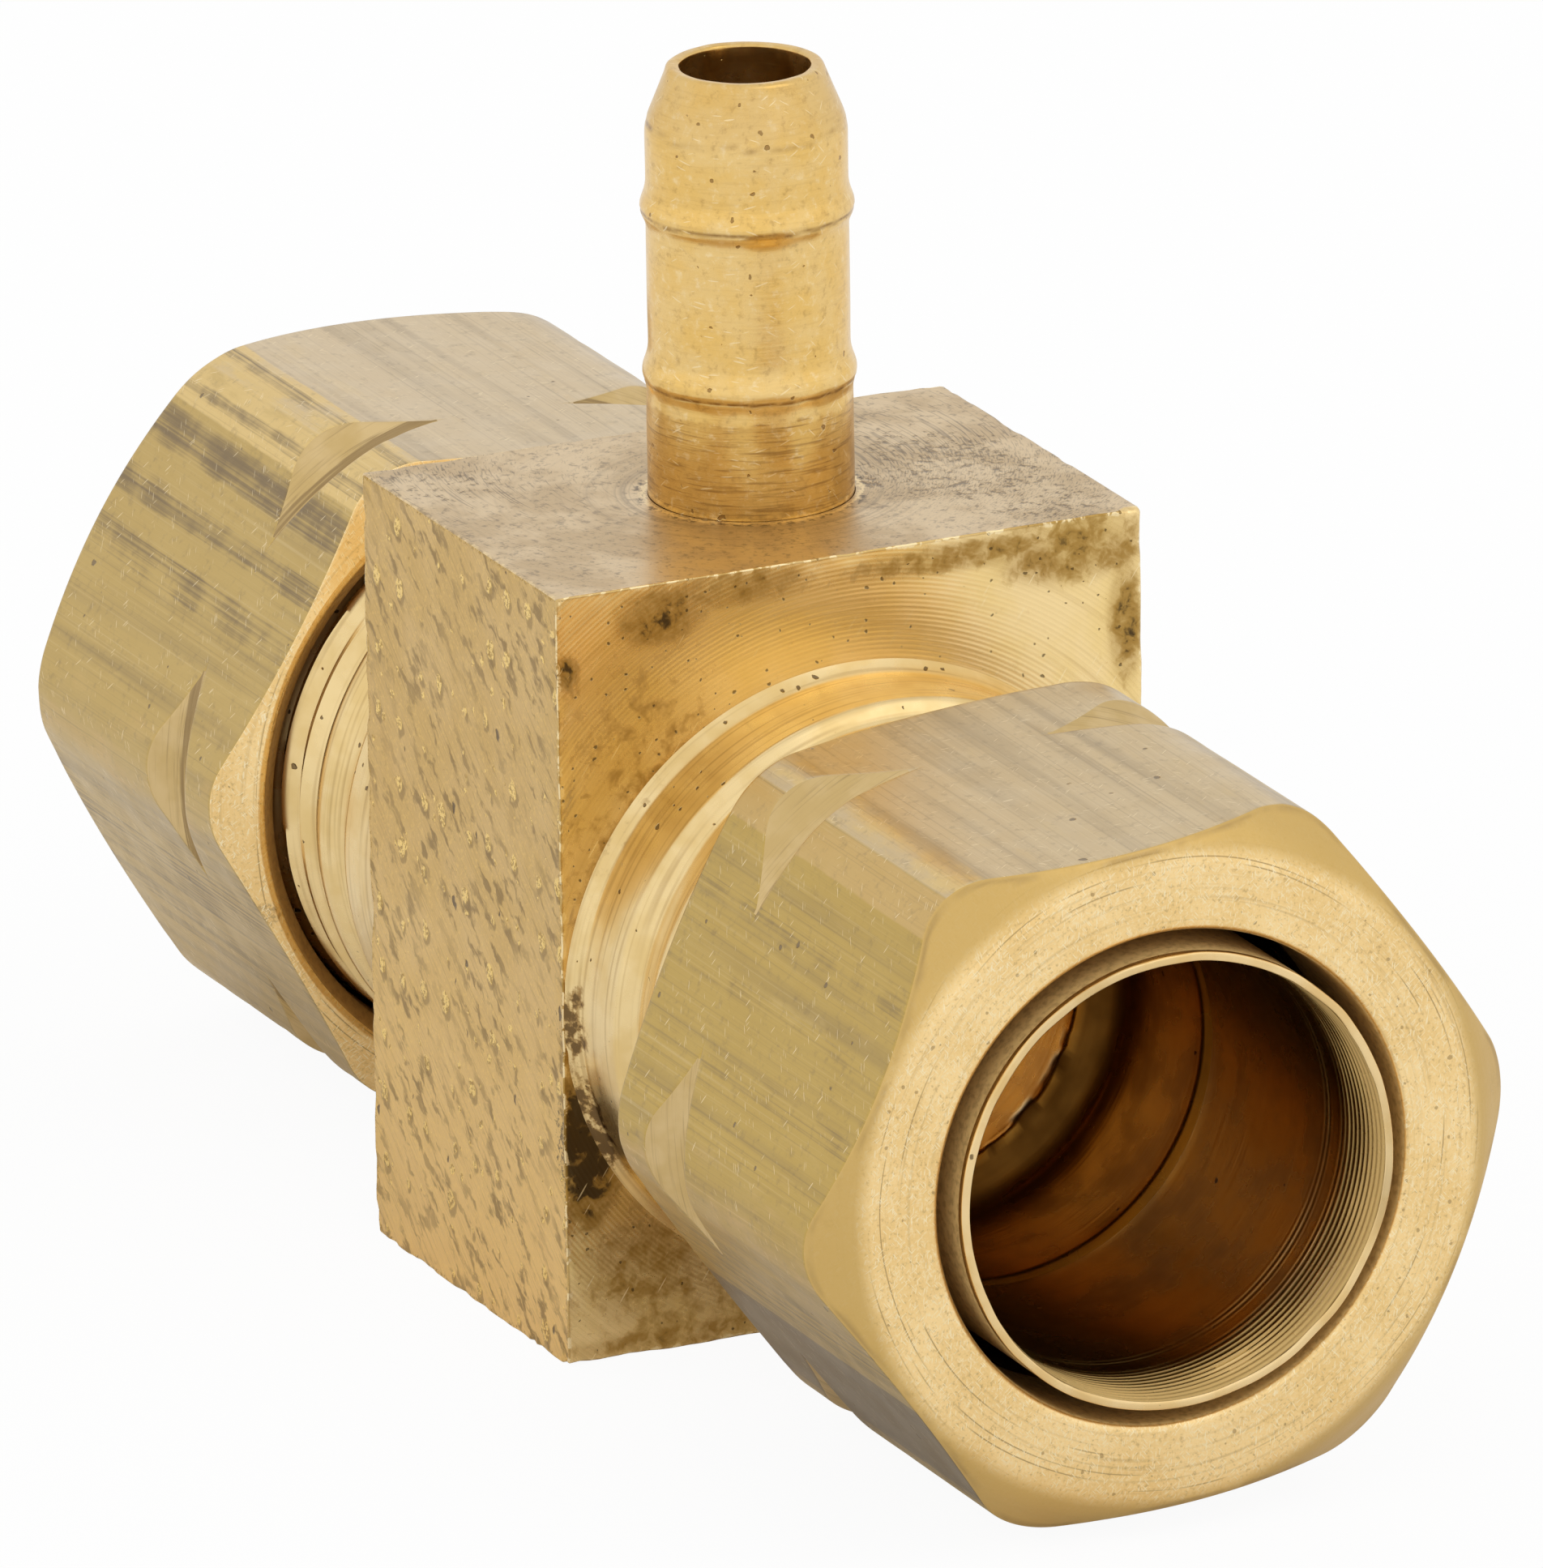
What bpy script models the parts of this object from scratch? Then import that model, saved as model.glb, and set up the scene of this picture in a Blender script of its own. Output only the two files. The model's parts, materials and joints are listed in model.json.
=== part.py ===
"""Brass compression tee with a hose-barb branch, in metres, +Z up.

The tee stands on the flat underside of its block. The run axis lies along X, the branch
axis along Z, and the origin is the centre of the underside. Each end of the run carries
a union nut that holds a compression sleeve on a threaded spigot of the body.
"""

import math

import bmesh
import bpy
from mathutils import Matrix

# Tube and hose that the tee joins
TUBE_DIAMETER = 0.0127
TUBE_CLEARANCE = 0.00005
HOSE_STEM_RADIUS = 0.00289

# Gap that separate pieces keep between them
PIECE_GAP = 0.0003

# Run of the body: bore, tube socket, seat for the sleeve, threaded spigot and boss
SOCKET_SHOULDER = 0.0012
SHOULDER_SLOPE = math.radians(5)
SOCKET_DEPTH = 0.00727
SPIGOT_WALL = 0.0022
SPIGOT_LIP = 0.00055
SPIGOT_LENGTH = 0.00695
SPIGOT_END_BREAK = 0.0003
RELIEF_WIDTH = 0.0013
RELIEF_DEPTH = 0.0003
BOSS_STEP = 0.0002
BOSS_LENGTH = 0.00275
BOSS_FILLET_LENGTH = 0.0009
BOSS_FILLET_HEIGHT = 0.00022

# Block
BLOCK_LENGTH = 0.0132
BLOCK_SIDE_WALL = 0.00015
BLOCK_ROUND = 0.0004
BASE_STANDOFF = 0.000815

# Barbed stem, with heights above the top of the block
STEM_BASE_GROWTH = 0.00006
STEM_WALL = 0.00102
STEM_SEAT_DEPTH = 0.00525
BRANCH_LEDGE = 0.0019
BARB_HEIGHT = 0.00021
BARB_BACK = 0.00045
BARB_RAMP = 0.0006
LOWER_BARB_AT = 0.0037
UPPER_BARB_AT = 0.00855
NOSE_LENGTH = 0.0017
NOSE_DROP = 0.0007
STEM_HEIGHT = 0.01273

# Compression sleeve
SLEEVE_NOSE_WALL = 0.0002
SLEEVE_RING_DROP = 0.00065
SLEEVE_RING_LENGTH = 0.0023
SLEEVE_TAIL_WALL = 0.00027
SLEEVE_TAIL_LENGTH = 0.0062
SLEEVE_STAND_OUT = 0.0004

# Union nut
NUT_LENGTH = 0.0141
NUT_WALL = 0.00083
NUT_TAIL_GAP = 0.00052
NUT_MOUTH_CHAMFER = 0.0003
NUT_CORNER_ROUND = 0.0026
NUT_CHAMFER_INSET = 0.0002
NUT_INNER_CHAMFER = math.radians(25)
NUT_OUTER_CHAMFER = math.radians(43)
NUT_NOTCH_FROM_INNER_END = 0.00395
NUT_NOTCH_FLOOR = 0.0002
NUT_NOTCH_INNER_SLOPE = math.radians(60)
NUT_NOTCH_OUTER_SLOPE = math.radians(50)
FRONT_NUT_TURN = math.radians(5.5)
REAR_NUT_TURN = math.radians(1.3)

# How far the rear nut and sleeve stand unscrewed, compared with the front pair
REAR_BACK_OFF = 0.00045

# Smoothness of round forms, and margins of the modelling itself
TURN_STEPS = 48
STEM_STEPS = 32
ARC_STEPS = 4
CUT_MARGIN = 0.002
SHARP_ANGLE = math.radians(30)
MERGE_DISTANCE = 1e-7

# Sizes that follow from the ones above
SOCKET_RADIUS = TUBE_DIAMETER / 2 + TUBE_CLEARANCE
BORE_RADIUS = SOCKET_RADIUS - SOCKET_SHOULDER
SPIGOT_RADIUS = SOCKET_RADIUS + SPIGOT_WALL
BOSS_RADIUS = SPIGOT_RADIUS + BOSS_STEP
BLOCK_WIDTH = 2 * (BOSS_RADIUS + BOSS_FILLET_HEIGHT + BLOCK_SIDE_WALL)
BLOCK_FACE = BLOCK_LENGTH / 2
BOSS_END = BLOCK_FACE + BOSS_LENGTH
RELIEF_END = BOSS_END + RELIEF_WIDTH
SPIGOT_END = RELIEF_END + SPIGOT_LENGTH
SEAT_RADIUS = SPIGOT_RADIUS - SPIGOT_LIP
SEAT_START = SPIGOT_END - (SEAT_RADIUS - SOCKET_RADIUS)
SOCKET_START = SPIGOT_END - SOCKET_DEPTH
BORE_EDGE = SOCKET_START - SOCKET_SHOULDER * math.tan(SHOULDER_SLOPE)

# A gap measured square to a 45 degree cone, along the axis
CONE_GAP = PIECE_GAP * math.sqrt(2)
SLEEVE_RADIUS = SOCKET_RADIUS
SLEEVE_RING_RADIUS = SPIGOT_RADIUS - SLEEVE_RING_DROP
SLEEVE_NOSE_RADIUS = SLEEVE_RADIUS + SLEEVE_NOSE_WALL
SLEEVE_TAIL_RADIUS = SLEEVE_RADIUS + SLEEVE_TAIL_WALL
SLEEVE_START = SEAT_START + CONE_GAP + SLEEVE_NOSE_WALL
SLEEVE_RING_START = SLEEVE_START + SLEEVE_RING_RADIUS - SLEEVE_NOSE_RADIUS
SLEEVE_RING_END = SLEEVE_RING_START + SLEEVE_RING_LENGTH
SLEEVE_TAIL_START = SLEEVE_RING_END + SLEEVE_RING_RADIUS - SLEEVE_TAIL_RADIUS
SLEEVE_END = SLEEVE_TAIL_START + SLEEVE_TAIL_LENGTH

NUT_BORE_RADIUS = SPIGOT_RADIUS + PIECE_GAP
NUT_FLAT_RADIUS = NUT_BORE_RADIUS + NUT_WALL
NUT_CORNER_RADIUS = NUT_FLAT_RADIUS / math.cos(math.pi / 6)
NUT_TAIL_RADIUS = SLEEVE_TAIL_RADIUS + NUT_TAIL_GAP
NUT_END = SLEEVE_END - SLEEVE_STAND_OUT
NUT_START = NUT_END - NUT_LENGTH
NUT_TAPER_START = SLEEVE_RING_END + CONE_GAP - (NUT_BORE_RADIUS - SLEEVE_RING_RADIUS)
NUT_TAPER_END = NUT_TAPER_START + NUT_BORE_RADIUS - NUT_TAIL_RADIUS

RUN_HEIGHT = NUT_FLAT_RADIUS + BASE_STANDOFF
BLOCK_TOP = BORE_RADIUS + BRANCH_LEDGE + STEM_SEAT_DEPTH
STEM_BASE_RADIUS = HOSE_STEM_RADIUS + STEM_BASE_GROWTH
STEM_BORE_RADIUS = HOSE_STEM_RADIUS - STEM_WALL
STEM_HOLE_RADIUS = STEM_BASE_RADIUS + PIECE_GAP
STEM_LEDGE = BORE_RADIUS + BRANCH_LEDGE
NOSE_START = STEM_HEIGHT - NOSE_LENGTH


def clear_scene():
    """Removes every object that the scene starts with."""
    for obj in list(bpy.data.objects):
        bpy.data.objects.remove(obj, do_unlink=True)


def brass(name, colour, roughness):
    """A brass material of the given colour and roughness."""
    material = bpy.data.materials.new(name)
    material.use_nodes = True
    shader = material.node_tree.nodes["Principled BSDF"]
    shader.inputs["Base Color"].default_value = (*colour, 1.0)
    shader.inputs["Metallic"].default_value = 1.0
    shader.inputs["Roughness"].default_value = roughness
    return material


def empty(name, place, turn=0.0, parent=None):
    """An empty at a place, turned about Z, that pieces hang from."""
    holder = bpy.data.objects.new(name, None)
    bpy.context.scene.collection.objects.link(holder)
    holder.parent = parent
    holder.location = place
    holder.rotation_euler.z = turn
    return holder


def finish_object(name, shape, parent):
    """An object from a bmesh, with faces outward, smooth where round, under a parent."""
    bmesh.ops.recalc_face_normals(shape, faces=shape.faces)
    mesh = bpy.data.meshes.new(name)
    shape.to_mesh(mesh)
    shape.free()
    mesh.shade_smooth()
    mesh.set_sharp_from_angle(angle=SHARP_ANGLE)
    obj = bpy.data.objects.new(name, mesh)
    bpy.context.scene.collection.objects.link(obj)
    obj.parent = parent
    return obj


def turned(name, profile, parent, steps=TURN_STEPS, axis="X"):
    """A solid of revolution from (along, radius) points, closed on itself or at the axis."""
    shape = bmesh.new()
    on_axis = profile[0][1] == 0.0
    along_x = axis == "X"
    points = [(along, 0.0, radius) if along_x else (radius, 0.0, along) for along, radius in profile]
    verts = [shape.verts.new(point) for point in points]
    pairs = list(zip(verts, verts[1:]))
    if not on_axis:
        pairs.append((verts[-1], verts[0]))
    edges = [shape.edges.new(pair) for pair in pairs]
    bmesh.ops.spin(
        shape,
        geom=verts + edges,
        cent=(0.0, 0.0, 0.0),
        axis=(1.0, 0.0, 0.0) if along_x else (0.0, 0.0, 1.0),
        angle=2 * math.pi,
        steps=steps,
        use_merge=True,
    )
    bmesh.ops.remove_doubles(shape, verts=shape.verts, dist=MERGE_DISTANCE)
    return finish_object(name, shape, parent)


def prism(name, outline, axis, low, high, parent):
    """A prism: an outline in the plane across an axis, extruded from low to high."""
    shape = bmesh.new()
    along_x = axis == "X"
    bottom = [shape.verts.new((low, a, b) if along_x else (a, b, low)) for a, b in outline]
    face = shape.faces.new(bottom)
    grown = bmesh.ops.extrude_face_region(shape, geom=[face])
    moved = [item for item in grown["geom"] if isinstance(item, bmesh.types.BMVert)]
    offset = (high - low, 0.0, 0.0) if along_x else (0.0, 0.0, high - low)
    bmesh.ops.translate(shape, verts=moved, vec=offset)
    return finish_object(name, shape, parent)


def combine(obj, other, operation):
    """Adds an exact Boolean with a helper object, which is hidden from renders."""
    other.hide_render = True
    other.display_type = "WIRE"
    modifier = obj.modifiers.new(other.name, "BOOLEAN")
    modifier.operation = operation
    modifier.solver = "EXACT"
    modifier.object = other


def arc(centre, radii, start, end, steps=ARC_STEPS):
    """Points along an elliptical arc, from one angle to another."""
    angles = [start + (end - start) * i / steps for i in range(steps + 1)]
    return [(centre[0] + radii[0] * math.cos(a), centre[1] + radii[1] * math.sin(a)) for a in angles]


def rounded(corners, radii):
    """A closed outline with each corner rounded by its own radius, or left sharp at 0."""
    outline = []
    for i, (corner, radius) in enumerate(zip(corners, radii)):
        if radius == 0.0:
            outline.append(corner)
            continue
        before = corners[i - 1]
        after = corners[(i + 1) % len(corners)]
        back = math.atan2(before[1] - corner[1], before[0] - corner[0])
        ahead = math.atan2(after[1] - corner[1], after[0] - corner[0])
        half = ((back - ahead) % (2 * math.pi)) / 2
        middle = ahead + half
        reach = radius / math.sin(half)
        centre = (corner[0] + reach * math.cos(middle), corner[1] + reach * math.sin(middle))
        sweep = math.pi / 2 - half
        facing = middle + math.pi
        outline += arc(centre, (radius, radius), facing - sweep, facing + sweep)
    return outline


def make_body(run, material):
    """The block with a turned boss and spigot at each end, and its run and branch bores."""
    half = BLOCK_WIDTH / 2
    corners = [(BLOCK_FACE, -half), (BLOCK_FACE, half), (-BLOCK_FACE, half), (-BLOCK_FACE, -half)]
    outline = rounded(corners, (0.0, BLOCK_ROUND, BLOCK_ROUND, 0.0))
    body = prism("tee_body", outline, "Z", -RUN_HEIGHT, BLOCK_TOP, run)

    fillet = arc(
        (BLOCK_FACE + BOSS_FILLET_LENGTH, BOSS_RADIUS + BOSS_FILLET_HEIGHT),
        (BOSS_FILLET_LENGTH, BOSS_FILLET_HEIGHT),
        math.pi,
        1.5 * math.pi,
    )
    relief_radius = SPIGOT_RADIUS - RELIEF_DEPTH
    end = [
        *fillet,
        (BOSS_END, BOSS_RADIUS),
        (BOSS_END, relief_radius),
        (RELIEF_END, relief_radius),
        (RELIEF_END + RELIEF_DEPTH, SPIGOT_RADIUS),
        (SPIGOT_END - SPIGOT_END_BREAK, SPIGOT_RADIUS),
        (SPIGOT_END, SPIGOT_RADIUS - SPIGOT_END_BREAK),
        (SPIGOT_END, 0.0),
    ]
    mirrored = [(-along, radius) for along, radius in reversed(end)]
    combine(body, turned("run_bosses", mirrored + end, run), "UNION")

    past_end = SPIGOT_END + CUT_MARGIN
    bore = [
        (BORE_EDGE, BORE_RADIUS),
        (SOCKET_START, SOCKET_RADIUS),
        (SEAT_START, SOCKET_RADIUS),
        (past_end, SOCKET_RADIUS + past_end - SEAT_START),
        (past_end, 0.0),
    ]
    mirrored = [(-along, radius) for along, radius in reversed(bore)]
    combine(body, turned("run_bore", mirrored + bore, run), "DIFFERENCE")

    hole = [
        (0.0, 0.0),
        (0.0, STEM_BORE_RADIUS),
        (STEM_LEDGE, STEM_BORE_RADIUS),
        (STEM_LEDGE, STEM_HOLE_RADIUS),
        (BLOCK_TOP + CUT_MARGIN, STEM_HOLE_RADIUS),
        (BLOCK_TOP + CUT_MARGIN, 0.0),
    ]
    combine(body, turned("branch_hole", hole, run, STEM_STEPS, "Z"), "DIFFERENCE")
    body.data.materials.append(material)


def make_stem(run, material):
    """The barbed hose stem, seated in its hole in the top of the block."""
    barbs = []
    for base, at, radius in (
        (LOWER_BARB_AT - BARB_BACK, LOWER_BARB_AT, STEM_BASE_RADIUS),
        (UPPER_BARB_AT - BARB_BACK, UPPER_BARB_AT, HOSE_STEM_RADIUS),
    ):
        barbs += [
            (base, radius),
            (at, HOSE_STEM_RADIUS + BARB_HEIGHT),
            (at + BARB_RAMP, HOSE_STEM_RADIUS),
        ]
    outside = [
        *barbs,
        (NOSE_START, HOSE_STEM_RADIUS),
        (STEM_HEIGHT, HOSE_STEM_RADIUS - NOSE_DROP),
        (STEM_HEIGHT, STEM_BORE_RADIUS),
    ]
    foot = STEM_LEDGE + PIECE_GAP
    profile = [(foot, STEM_BORE_RADIUS), (foot, STEM_BASE_RADIUS)]
    profile += [(BLOCK_TOP + height, radius) for height, radius in outside]
    stem = turned("hose_barb", profile, run, STEM_STEPS, "Z")
    stem.data.materials.append(material)


def make_sleeve(name, end, material):
    """A compression sleeve: nose cone, ring, back cone and thin tail."""
    profile = [
        (SLEEVE_START, SLEEVE_RADIUS),
        (SLEEVE_START, SLEEVE_NOSE_RADIUS),
        (SLEEVE_RING_START, SLEEVE_RING_RADIUS),
        (SLEEVE_RING_END, SLEEVE_RING_RADIUS),
        (SLEEVE_TAIL_START, SLEEVE_TAIL_RADIUS),
        (SLEEVE_END, SLEEVE_TAIL_RADIUS),
        (SLEEVE_END, SLEEVE_RADIUS),
    ]
    sleeve = turned(name, profile, end)
    sleeve.data.materials.append(material)


def make_nut(name, end, turn, material):
    """A hexagon union nut: chamfered ends, corner notches and a stepped bore."""
    corner_angles = [i * math.pi / 3 for i in range(6)]
    corners = [(NUT_CORNER_RADIUS * math.cos(a), NUT_CORNER_RADIUS * math.sin(a)) for a in corner_angles]
    outline = rounded(corners, [NUT_CORNER_ROUND] * 6)
    nut = prism(name, outline, "X", NUT_START - CUT_MARGIN, NUT_END + CUT_MARGIN, end)

    chamfer_radius = NUT_FLAT_RADIUS - NUT_CHAMFER_INSET
    outside = NUT_CORNER_RADIUS
    rise = outside - chamfer_radius
    notch_floor = NUT_FLAT_RADIUS + NUT_NOTCH_FLOOR
    notch_at = NUT_START + NUT_NOTCH_FROM_INNER_END
    notch_depth = outside - notch_floor
    envelope = [
        (NUT_START, NUT_BORE_RADIUS + NUT_MOUTH_CHAMFER),
        (NUT_START, chamfer_radius),
        (NUT_START + rise * math.tan(NUT_INNER_CHAMFER), outside),
        (notch_at - notch_depth * math.tan(NUT_NOTCH_INNER_SLOPE), outside),
        (notch_at, notch_floor),
        (notch_at + notch_depth * math.tan(NUT_NOTCH_OUTER_SLOPE), outside),
        (NUT_END - rise * math.tan(NUT_OUTER_CHAMFER), outside),
        (NUT_END, chamfer_radius),
        (NUT_END, NUT_TAIL_RADIUS),
        (NUT_TAPER_END, NUT_TAIL_RADIUS),
        (NUT_TAPER_START, NUT_BORE_RADIUS),
        (NUT_START + NUT_MOUTH_CHAMFER, NUT_BORE_RADIUS),
    ]
    blank = turned(name + "_turning", envelope, nut)
    combine(nut, blank, "INTERSECT")
    nut.matrix_basis = Matrix.Rotation(turn, 4, "X")
    nut.data.materials.append(material)


def main():
    """Builds the tee: body, stem, and a sleeve and nut at each end of the run."""
    clear_scene()
    run = empty("run_axis", (0.0, 0.0, RUN_HEIGHT))
    make_body(run, brass("block_brass", (0.62, 0.42, 0.15), 0.38))
    make_stem(run, brass("stem_brass", (0.72, 0.5, 0.18), 0.3))
    ends = (
        ("front", 0.0, 0.0, FRONT_NUT_TURN),
        ("rear", -REAR_BACK_OFF, math.pi, REAR_NUT_TURN),
    )
    for side, shift, facing, nut_turn in ends:
        end = empty(side + "_end", (shift, 0.0, 0.0), facing, run)
        make_sleeve(side + "_sleeve", end, brass(side + "_sleeve_brass", (0.66, 0.46, 0.17), 0.32))
        make_nut(side + "_nut", end, nut_turn, brass(side + "_nut_brass", (0.56, 0.43, 0.2), 0.36))


main()
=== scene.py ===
"""Looks of a brass compression tee with a hose-barb branch.

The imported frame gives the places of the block, the nuts, the sleeves and the hose stem. Each of
them is made again here as a fine mesh with its own sawn, milled, faced, turned or drawn brass, and
rides on the body that carries it. Sizes are in millimetres and angles in degrees.
"""

import json
import logging
import math
from dataclasses import dataclass, field, replace
from enum import Enum, IntEnum

import bpy
import numpy as np
from mathutils import Matrix, Vector


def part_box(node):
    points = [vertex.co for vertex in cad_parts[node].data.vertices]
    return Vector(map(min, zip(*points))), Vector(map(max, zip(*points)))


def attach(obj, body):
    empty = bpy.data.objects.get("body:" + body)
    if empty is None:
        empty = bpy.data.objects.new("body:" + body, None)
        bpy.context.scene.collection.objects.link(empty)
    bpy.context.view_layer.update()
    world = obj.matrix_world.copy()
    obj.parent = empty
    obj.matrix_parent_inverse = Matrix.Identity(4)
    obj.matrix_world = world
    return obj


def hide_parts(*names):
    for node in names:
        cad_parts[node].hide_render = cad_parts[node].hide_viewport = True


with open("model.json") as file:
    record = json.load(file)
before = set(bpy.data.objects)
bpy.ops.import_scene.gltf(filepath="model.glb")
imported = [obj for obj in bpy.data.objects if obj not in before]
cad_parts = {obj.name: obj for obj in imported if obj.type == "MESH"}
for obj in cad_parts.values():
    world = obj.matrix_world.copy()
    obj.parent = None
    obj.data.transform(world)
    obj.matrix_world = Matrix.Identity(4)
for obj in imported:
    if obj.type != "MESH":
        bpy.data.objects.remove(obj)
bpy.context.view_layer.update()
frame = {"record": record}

Colour = tuple[float, float, float]
Place = tuple[float, float, float]
Span = tuple[float, float]
Grid = np.ndarray
Socket = bpy.types.NodeSocket
Value = float | Socket
Tint = Colour | Socket

MM = 0.001
LOG = logging.getLogger("compression_tee")

UNTURNED: Place = (0.0, 0.0, 0.0)
SIDE_ON: Place = (90.0, 0.0, 0.0)
END_ON: Place = (0.0, 90.0, 0.0)

LATTICE_PRIMES = (73856093, 19349663, 83492791)
SEED_PRIME = 2654435761
MIXING_PRIME = 1274126177
LEVELS = 0xFFFF
SOFT_RIM = 0.35
NOISE_SPAN: Span = (0.3, 0.7)


def joint_place(name: str) -> Grid:
    """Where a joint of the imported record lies.

    Args:
        name: The joint's name in the record.

    Returns:
        The joint's point in millimetres.
    """
    joints = frame["record"]["behaviour"]["joints"]
    found = next(joint for joint in joints if joint["name"] == name)
    return np.array(found["pos_m"]) / MM


def node_box(node: str) -> tuple[Grid, Grid]:
    """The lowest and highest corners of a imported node, in millimetres."""
    low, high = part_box(node)
    return np.array(low) / MM, np.array(high) / MM


RUN_HEIGHT = float(joint_place("front_nut_turn")[2])


def corner_value(cell: Grid, seed: int) -> Grid:
    """A fixed number from -1 to 1 for each cell of a lattice.

    Args:
        cell: Whole-number cells, with the three coordinates on the last axis.
        seed: Chooses one of many patterns.

    Returns:
        One value to a cell.
    """
    mixed = np.bitwise_xor.reduce(cell * np.array(LATTICE_PRIMES), axis=-1) ^ (seed * SEED_PRIME)
    mixed = (mixed ^ (mixed >> 13)) * MIXING_PRIME
    mixed = mixed ^ (mixed >> 16)
    return 2.0 * (mixed & LEVELS) / LEVELS - 1.0


def eased(part: Grid) -> Grid:
    """Shares from 0 to 1 that start and stop softly."""
    return part * part * (3.0 - 2.0 * part)


def smooth_noise(places: Grid, per_mm: float, seed: int) -> Grid:
    """Smooth noise that is the same on every run.

    Args:
        places: Points in millimetres, with the coordinates on the last axis.
        per_mm: Lattice cells to the millimetre.
        seed: Chooses one of many patterns.

    Returns:
        One value from -1 to 1 to a point.
    """
    scaled = places * per_mm
    cell = np.floor(scaled).astype(np.int64)
    part = eased(scaled - cell)
    total = np.zeros(places.shape[:-1])
    for corner in np.ndindex(2, 2, 2):
        weight = np.prod(np.where(np.array(corner) == 1, part, 1.0 - part), axis=-1)
        total += weight * corner_value(cell + np.array(corner), seed)
    return total


@dataclass(frozen=True)
class Ripple:
    """A fixed pattern of noise: its cells to the millimetre, its seed and its height."""

    per_mm: float
    seed: int
    height: float = 1.0

    def at(self, places: Grid) -> Grid:
        """The pattern's height at each point."""
        return self.height * smooth_noise(places, self.per_mm, self.seed)


def smooth_step(values: Grid, low: float, high: float) -> Grid:
    """Values eased from 0 at low to 1 at high."""
    return eased(np.clip((values - low) / (high - low), 0.0, 1.0))


def eased_steps(count: int) -> Grid:
    """Shares from 0 up to 1, left out, that crowd towards both ends."""
    return 0.5 - 0.5 * np.cos(np.pi * np.arange(count) / count)


def placed(name: str, data: bpy.types.ID) -> bpy.types.Object:
    """Puts a new object in the scene.

    Args:
        name: The object's name.
        data: Its mesh, lamp or camera.

    Returns:
        The object.
    """
    made = bpy.data.objects.new(name, data)
    bpy.context.scene.collection.objects.link(made)
    return made


class Wiring:
    """The nodes of one tree, written as sockets."""

    def __init__(self, tree: bpy.types.NodeTree) -> None:
        """Starts on the tree of a material or of the world."""
        self.tree = tree

    def node(self, kind: str, **settings: object) -> bpy.types.Node:
        """Adds a node.

        Args:
            kind: Blender's name of the kind of node.
            **settings: Properties to set on it.

        Returns:
            The new node.
        """
        made = self.tree.nodes.new(kind)
        for key, value in settings.items():
            setattr(made, key, value)
        return made

    def put(self, socket: Socket, value: Value | Tint) -> None:
        """Sets or links an input.

        Args:
            socket: The input.
            value: A number, a colour, a vector or another node's output.
        """
        if isinstance(value, bpy.types.NodeSocket):
            self.tree.links.new(value, socket)
        elif socket.type == "RGBA":
            socket.default_value = (*value, 1.0)
        else:
            socket.default_value = value

    def math(self, kind: str, *values: Value) -> Socket:
        """A sum on numbers.

        Args:
            kind: Blender's name of the operation.
            *values: The numbers, in order.

        Returns:
            The result.
        """
        made = self.node("ShaderNodeMath", operation=kind)
        for socket, value in zip(made.inputs, values):
            self.put(socket, value)
        return made.outputs[0]

    def times(self, first: Value, second: Value) -> Socket:
        """The product of two numbers."""
        return self.math("MULTIPLY", first, second)

    def plus(self, first: Value, second: Value) -> Socket:
        """The sum of two numbers."""
        return self.math("ADD", first, second)

    def away(self, value: Socket, place: float) -> Socket:
        """How far a number lies from a place."""
        return self.math("ABSOLUTE", self.math("SUBTRACT", value, place))

    def vector(self, kind: str, first: Socket, second: Place | Socket = UNTURNED) -> Socket:
        """A sum on vectors.

        Args:
            kind: Blender's name of the operation.
            first: The vector that is worked on.
            second: The other vector.

        Returns:
            The new vector, or a number for a length or a dot product.
        """
        made = self.node("ShaderNodeVectorMath", operation=kind)
        self.put(made.inputs[0], first)
        self.put(made.inputs[1], second)
        return made.outputs["Value" if kind in ("LENGTH", "DOT_PRODUCT") else "Vector"]

    def ramp(
        self, value: Value, low: float, high: float, start: float = 0.0, end: float = 1.0
    ) -> Socket:
        """An eased step.

        Args:
            value: The number that is read.
            low: Where the step begins.
            high: Where it ends.
            start: The result at its beginning.
            end: The result at its end.

        Returns:
            The eased number.
        """
        made = self.node("ShaderNodeMapRange", interpolation_type="SMOOTHSTEP")
        names = ("From Min", "From Max", "To Min", "To Max")
        for name, number in zip(names, (low, high, start, end)):
            made.inputs[name].default_value = number
        self.put(made.inputs["Value"], value)
        return made.outputs["Result"]


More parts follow.
